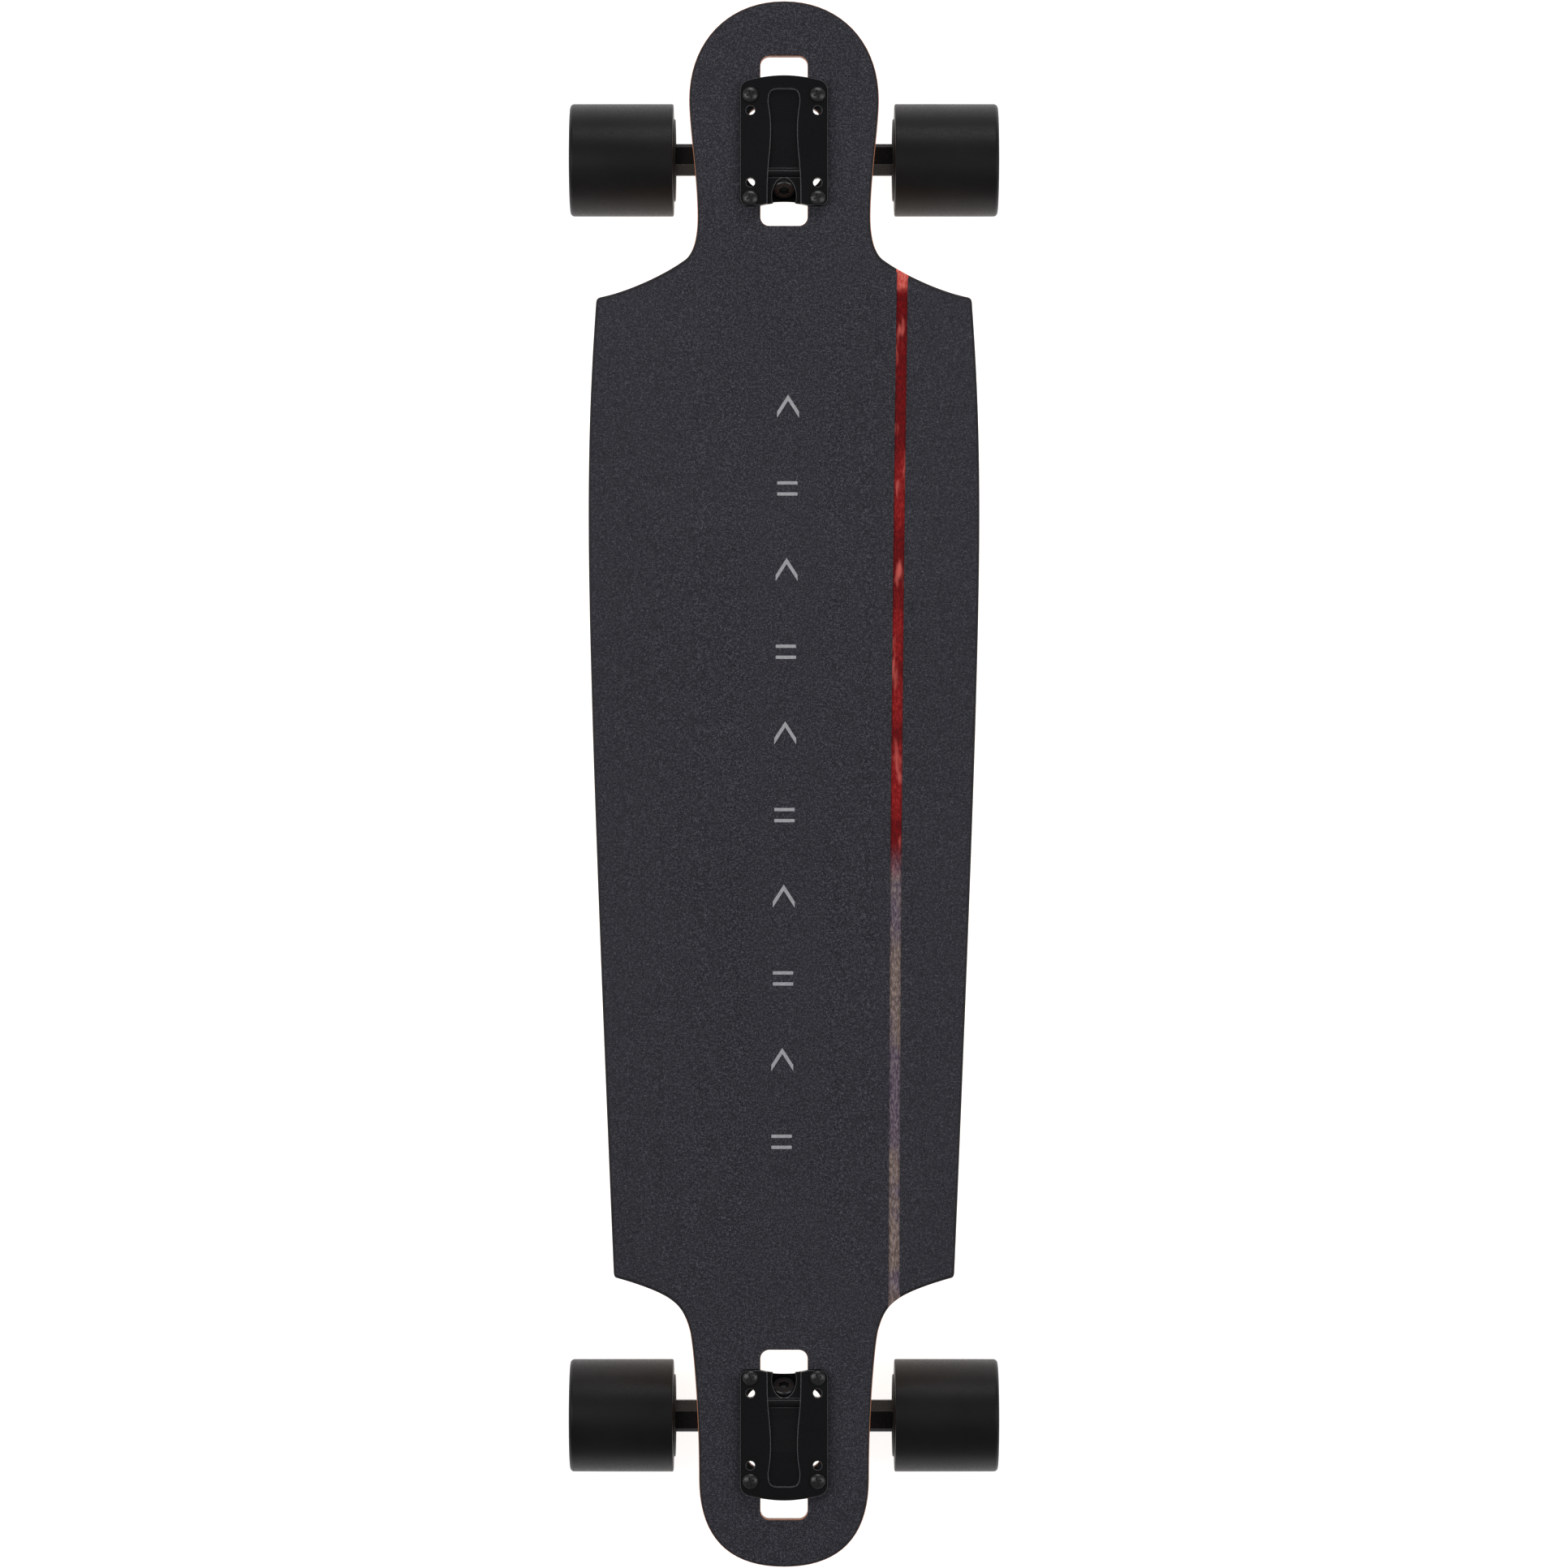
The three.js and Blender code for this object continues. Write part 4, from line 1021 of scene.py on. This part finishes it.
def plate_loop(grow=0.0):
    """The baseplate's outline about a truck's middle, with its crowned outer end."""
    side, inner, outer = plate_side + grow, -plate_inner - grow, plate_outer + grow
    corner = 5 * mm
    flank = (side - 7 * mm, outer - 2.4 * mm)
    shoulder = (side, outer - 10 * mm)
    right = [
        ((0, outer), (-6 * mm, outer), (6 * mm, outer)),
        (flank, (side - 14 * mm, outer - 0.9 * mm), (side - 2.5 * mm, outer - 3.2 * mm)),
        (shoulder, (side, outer - 5.3 * mm), shoulder),
        ((side, inner + corner), (side, inner + corner), (side, inner + corner * 0.45)),
        ((side - corner, inner), (side - corner * 0.45, inner), (side - corner, inner)),
    ]
    left = [((-p[0], p[1]), (-a[0], a[1]), (-b[0], b[1])) for p, b, a in reversed(right[1:])]
    return right + left


# %% [markdown]
# The bare board is then one call: its outline and the two openings, from the underside to the face
# that the baseplates rest on, with its edges rounded as a router leaves them.

# %% Deck board
wood_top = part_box("front_baseplate")[1].z - 6.1 * mm
wood_low = deck_low.z
holes = [moved(opening_loop(), place, turned_round) for place, turned_round in truck_middles.values()]
deck = plank("pressed_deck", [deck_loop(), *holes], wood_low, wood_top, edge=1.3 * mm, fineness=18)
slice_and_dish(deck)
print("deck", round((wood_top - wood_low) / mm, 2), "mm thick,", len(deck.data.polygons), "faces")

# %% [markdown]
# Maple veneers are pale and the dyed ones between them coral, and they alternate through the
# thickness. The top veneer is stained black, except under the bare stripe: there it is deep red
# towards the nose, with paler flames, and behind the middle it turns to a smoky plum. Wood grain shows
# as long thin streaks along the board, which is a noise squeezed across the deck and stretched along
# it. A thin lacquer lies over it all.

# %% Wood finish
stripe_middle = 69.3 * mm
stripe_lean = 0.0082
stripe_bow = 0.0106
stripe_width = 6.8 * mm


def stretched(tree, place, along, across, lean=0.0):
    """Coordinates for a noise whose features are long along the board, or lean a little from it."""
    mapping = tree.nodes.new("ShaderNodeMapping")
    mapping.inputs["Rotation"].default_value = (0, 0, lean)
    mapping.inputs["Scale"].default_value = (across, along, across)
    tree.links.new(place, mapping.inputs["Vector"])
    return mapping.outputs["Vector"]


wood, tree, shader, place = new_material("laminated_maple")
grain = noise(tree, stretched(tree, place, 14, 900), 1, 5, 0.6)
figure = noise(tree, stretched(tree, place, 3, 60), 1, 4, 0.5)
apart = tree.nodes.new("ShaderNodeSeparateXYZ")
tree.links.new(place, apart.inputs["Vector"])
along = apart.outputs["Y"]
dye = noise(tree, stretched(tree, place, 24, 30), 1, 3)
patches = span(tree, dye, 0.44, 0.58)
streaks = noise(tree, stretched(tree, place, 42, 170, 0.34), 1, 2)
flames = span(tree, streaks, 0.54, 0.72)
mottling = noise(tree, stretched(tree, place, 330, 900), 1, 3, 0.7)
mottle = span(tree, mottling, 0.40, 0.66)
dark_red = mix(tree, mottle, (0.125, 0.0012, 0.0020), (0.240, 0.0040, 0.0055))
light_red = mix(tree, mottle, (0.230, 0.0040, 0.0055), (0.420, 0.0230, 0.0220))
dyed = mix(tree, patches, dark_red, light_red)
flamed = mix(tree, flames, dyed, (0.70, 0.125, 0.105))
end_fade = span(tree, along, 0.302, 0.308)
pale_red = mix(tree, mottle, (0.70, 0.080, 0.065), (0.92, 0.230, 0.180))
red = mix(tree, end_fade, flamed, pale_red)
purple = mix(tree, mottle, (0.090, 0.064, 0.098), (0.260, 0.205, 0.235))
brown = mix(tree, mottle, (0.150, 0.108, 0.096), (0.380, 0.288, 0.256))
plum = mix(tree, patches, purple, brown)
stripe_stain = mix(tree, span(tree, along, -0.062, -0.034), plum, red)
print("stripe colours mixed")

# %% [markdown]
# The stripe isn't quite straight: its course across the board is a shallow curve of the distance along
# it. A point is on the stripe when it lies within half a width of that course, which is what the
# Compare node asks. A picture could hold the same drawing, but this stays sharp at any distance.

# %% Where the stain lies
black_stain = ramp(tree, grain, [(0.3, (0.024, 0.022, 0.026)), (0.8, (0.044, 0.041, 0.046))])
ends = span(tree, maths(tree, "ABSOLUTE", along), 0.326, 0.332)
slope = maths(tree, "MULTIPLY_ADD", along, stripe_bow, stripe_lean)
course = maths(tree, "MULTIPLY_ADD", along, slope, stripe_middle)
on_stripe = maths(tree, "COMPARE", apart.outputs["X"], course, stripe_width / 2 + 0.4 * mm)
stain = mix(tree, on_stripe, black_stain, stripe_stain)
print("stripe", round(stripe_width / mm, 1), "mm wide")

# %% [markdown]
# Seven veneers make the thickness. Ping-pong folds the kept height into one veneer's range, so that one
# step in it gives all the lines between them. The stain soaks only a little into the top veneer, a
# little deeper at the two ends, and the lacquer hardly shines.

# %% Veneers and lacquer
maple = ramp(tree, grain, [(0.25, (0.42, 0.25, 0.12)), (0.6, (0.58, 0.38, 0.20)),
                                   (0.85, (0.68, 0.48, 0.28))])
figured = mix(tree, figure, maple, (0.52, 0.31, 0.15))
coral = ramp(tree, grain, [(0.3, (0.50, 0.12, 0.07)), (0.7, (0.66, 0.20, 0.12))])
height = tree.nodes.new("ShaderNodeAttribute")
height.attribute_name = "layer"
up = height.outputs["Fac"]
ply_count = 7
ply = maths(tree, "PINGPONG", up, (wood_top - wood_low) / ply_count)
half_ply = (wood_top - wood_low) / (2 * ply_count)
dyed_ply = span(tree, ply, half_ply * 0.9, half_ply * 1.1)
plies = mix(tree, dyed_ply, figured, coral)
deep_stain = span(tree, up, wood_top - 1.5 * mm, wood_top - 1.35 * mm)
thin_stain = span(tree, up, wood_top - 0.5 * mm, wood_top - 0.4 * mm)
near_top = mix(tree, ends, deep_stain, thin_stain)
near_low = span(tree, up, wood_low + 1.0 * mm, wood_low + 0.8 * mm)
with_stain = mix(tree, near_top, plies, stain)
tree.links.new(mix(tree, near_low, with_stain, figured), shader.inputs["Base Color"])
tree.links.new(ramp(tree, grain, [(0.3, 0.34), (0.7, 0.5)]), shader.inputs["Roughness"])
shader.inputs["Specular IOR Level"].default_value = 0.12
shader.inputs["Coat Weight"].default_value = 0.06
shader.inputs["Coat Roughness"].default_value = 0.22
bump(tree, shader, grain, 0.12, 0.00008)
hand_over(deck, "board", "deck_wood", wood, "deck")
print("deck finished")

# %% [markdown]
# ## Grip
# Grip is a paper sheet with black grit glued on. It is cut to the deck with a thin bare rim, round the
# baseplates and the openings, and along the bare stripe, which leaves a wide main piece and a narrow
# side piece. Its thickness shows at every cut edge, so it is a real sheet and not a colour on the deck.
# Cutting is done flat with booleans, and the two islands are parted and dished after it.

# %% Grip sheets
grip_gap = 0.2 * mm
grip_low = wood_top + grip_gap
grip_high = grip_low + 0.8 * mm
sheet_piece = plank("grip_blank", [deck_loop(1.4 * mm)], grip_low, grip_high, fineness=18)
for place, turned_round in truck_middles.values():
    for loop in (opening_loop(0.3 * mm), plate_loop(0.3 * mm)):
        shape = moved(loop, place, turned_round)
        cut(sheet_piece, plank("grip_knife", [shape], grip_low - 5 * mm, grip_high + 5 * mm))
stripe_ends = 330 * mm


def stripe_x(y):
    """Middle of the bare stripe: nearly straight, leaning outward towards the nose."""
    return stripe_middle + stripe_lean * y + stripe_bow * y * y


steps = 14
line = [stripe_ends * (2 * i / steps - 1) for i in range(steps + 1)]
left_edge = [(stripe_x(y) - stripe_width / 2, y, 0) for y in line]
right_edge = [(stripe_x(y) + stripe_width / 2, y, 0) for y in reversed(line)]
cut(sheet_piece, plank("stripe_knife", [rounded_loop(left_edge + right_edge)], grip_low - 5 * mm,
                       grip_high + 5 * mm, fineness=1))
pick(sheet_piece)
bpy.ops.mesh.separate(type="LOOSE")
sheets = sorted(bpy.context.selected_objects, key=lambda piece: piece.dimensions.x)
print("grip cut into", len(sheets), "sheets")

# %% [markdown]
# Grit reflects almost nothing, but each grain that faces a lamp catches a spark. So the colour is a
# very dark blue-grey with pale specks of two sizes, and the bump is much stronger than elsewhere.

# %% Grip finish
grip_look, tree, shader, place = new_material("grit_sheet")
grains = noise(tree, place, 1500, 2, 0.7)
clusters = noise(tree, place, 680, 3, 0.6)
worn = noise(tree, place, 9, 4, 0.5)
base = ramp(tree, worn, [(0.3, (0.0175, 0.0166, 0.0235)), (0.7, (0.0235, 0.0226, 0.0305))])
specks = ramp(tree, grains, [(0.40, (0.002, 0.0019, 0.0035)), (0.64, (0.122, 0.118, 0.147))])
dots = span(tree, clusters, 0.34, 0.66)
speckled = mix(tree, dots, base, specks)
apart = tree.nodes.new("ShaderNodeSeparateXYZ")
tree.links.new(place, apart.inputs["Vector"])
# Painted light: the grit is painted a little lighter towards both rails, for the light that the dished
# edges catch.
rail_light_mask = span(tree, maths(tree, "ABSOLUTE", apart.outputs["X"]), 0.02, 0.13)
painted_rail_light = mix(tree, rail_light_mask, speckled, (0.036, 0.035, 0.044))
tree.links.new(mix(tree, 0.3, speckled, painted_rail_light), shader.inputs["Base Color"])
tree.links.new(ramp(tree, grains, [(0.35, 0.92), (0.7, 0.62)]), shader.inputs["Roughness"])
shader.inputs["Specular IOR Level"].default_value = 0.35
bump(tree, shader, grains, 0.65, 0.00035)
side_sheet, main_sheet = sheets[0], sheets[-1]
side_sheet.name, main_sheet.name = "grip_side_sheet", "grip_main_sheet"
for piece, node in ((main_sheet, "grip_main"), (side_sheet, "grip_side")):
    slice_and_dish(piece)
    hand_over(piece, "board", "grip_sheet", grip_look, node)
print("grip finished")

# %% [markdown]
# A column of small pale marks runs down the middle of the main sheet, printed on the grit. They are
# plain chevrons and bars of this lesson's own, evenly spaced. Ink has no thickness to speak of, so each
# is a plate a twentieth of a millimetre thick that sits on the sheet.

# %% Printed marks
mark_look = finish("printed_grey", (0.38, 0.38, 0.40), (0.50, 0.50, 0.52), (0.7, 0.85), 1300,
                   relief=(0.4, 0.0002), blotch=500)
mark_count = 10
mark_pitch = 50.3 * mm
mark_half = 9 * mm
stroke = 2 * mm


def chevron(x, y, way):
    reach = mark_half * 0.75
    foot, peak, leg = -reach * way, reach * way * 0.55, stroke * 1.9
    points = [(-reach, foot), (0, peak), (reach, foot), (reach, (-reach + leg) * way),
              (0, (reach * 0.55 + leg) * way), (-reach, (-reach + leg) * way)]
    return rounded_loop([(x + px, y + py, 0) for px, py in points])


def bar(x, y):
    reach = mark_half * 0.7
    corners = [(-reach, -stroke / 2), (reach, -stroke / 2), (reach, stroke / 2), (-reach, stroke / 2)]
    return rounded_loop([(x + px, y + py, stroke * 0.2) for px, py in corners])


for i in range(mark_count):
    y = mark_pitch * (mark_count / 2 - 0.5 - i) + 6 * mm
    x = 2.5 * mm - 4 * mm * i / (mark_count - 1)
    loops = [chevron(x, y, 1)] if i % 2 == 0 else [bar(x, y + 3.4 * mm), bar(x, y - 3.4 * mm)]
    mark = plank(f"printed_mark_{i + 1}", loops, grip_high + 0.01 * mm, grip_high + 0.06 * mm,
                 fineness=2)
    hand_over(mark, "board", "grip_sheet", mark_look)
print(mark_count, "marks printed")
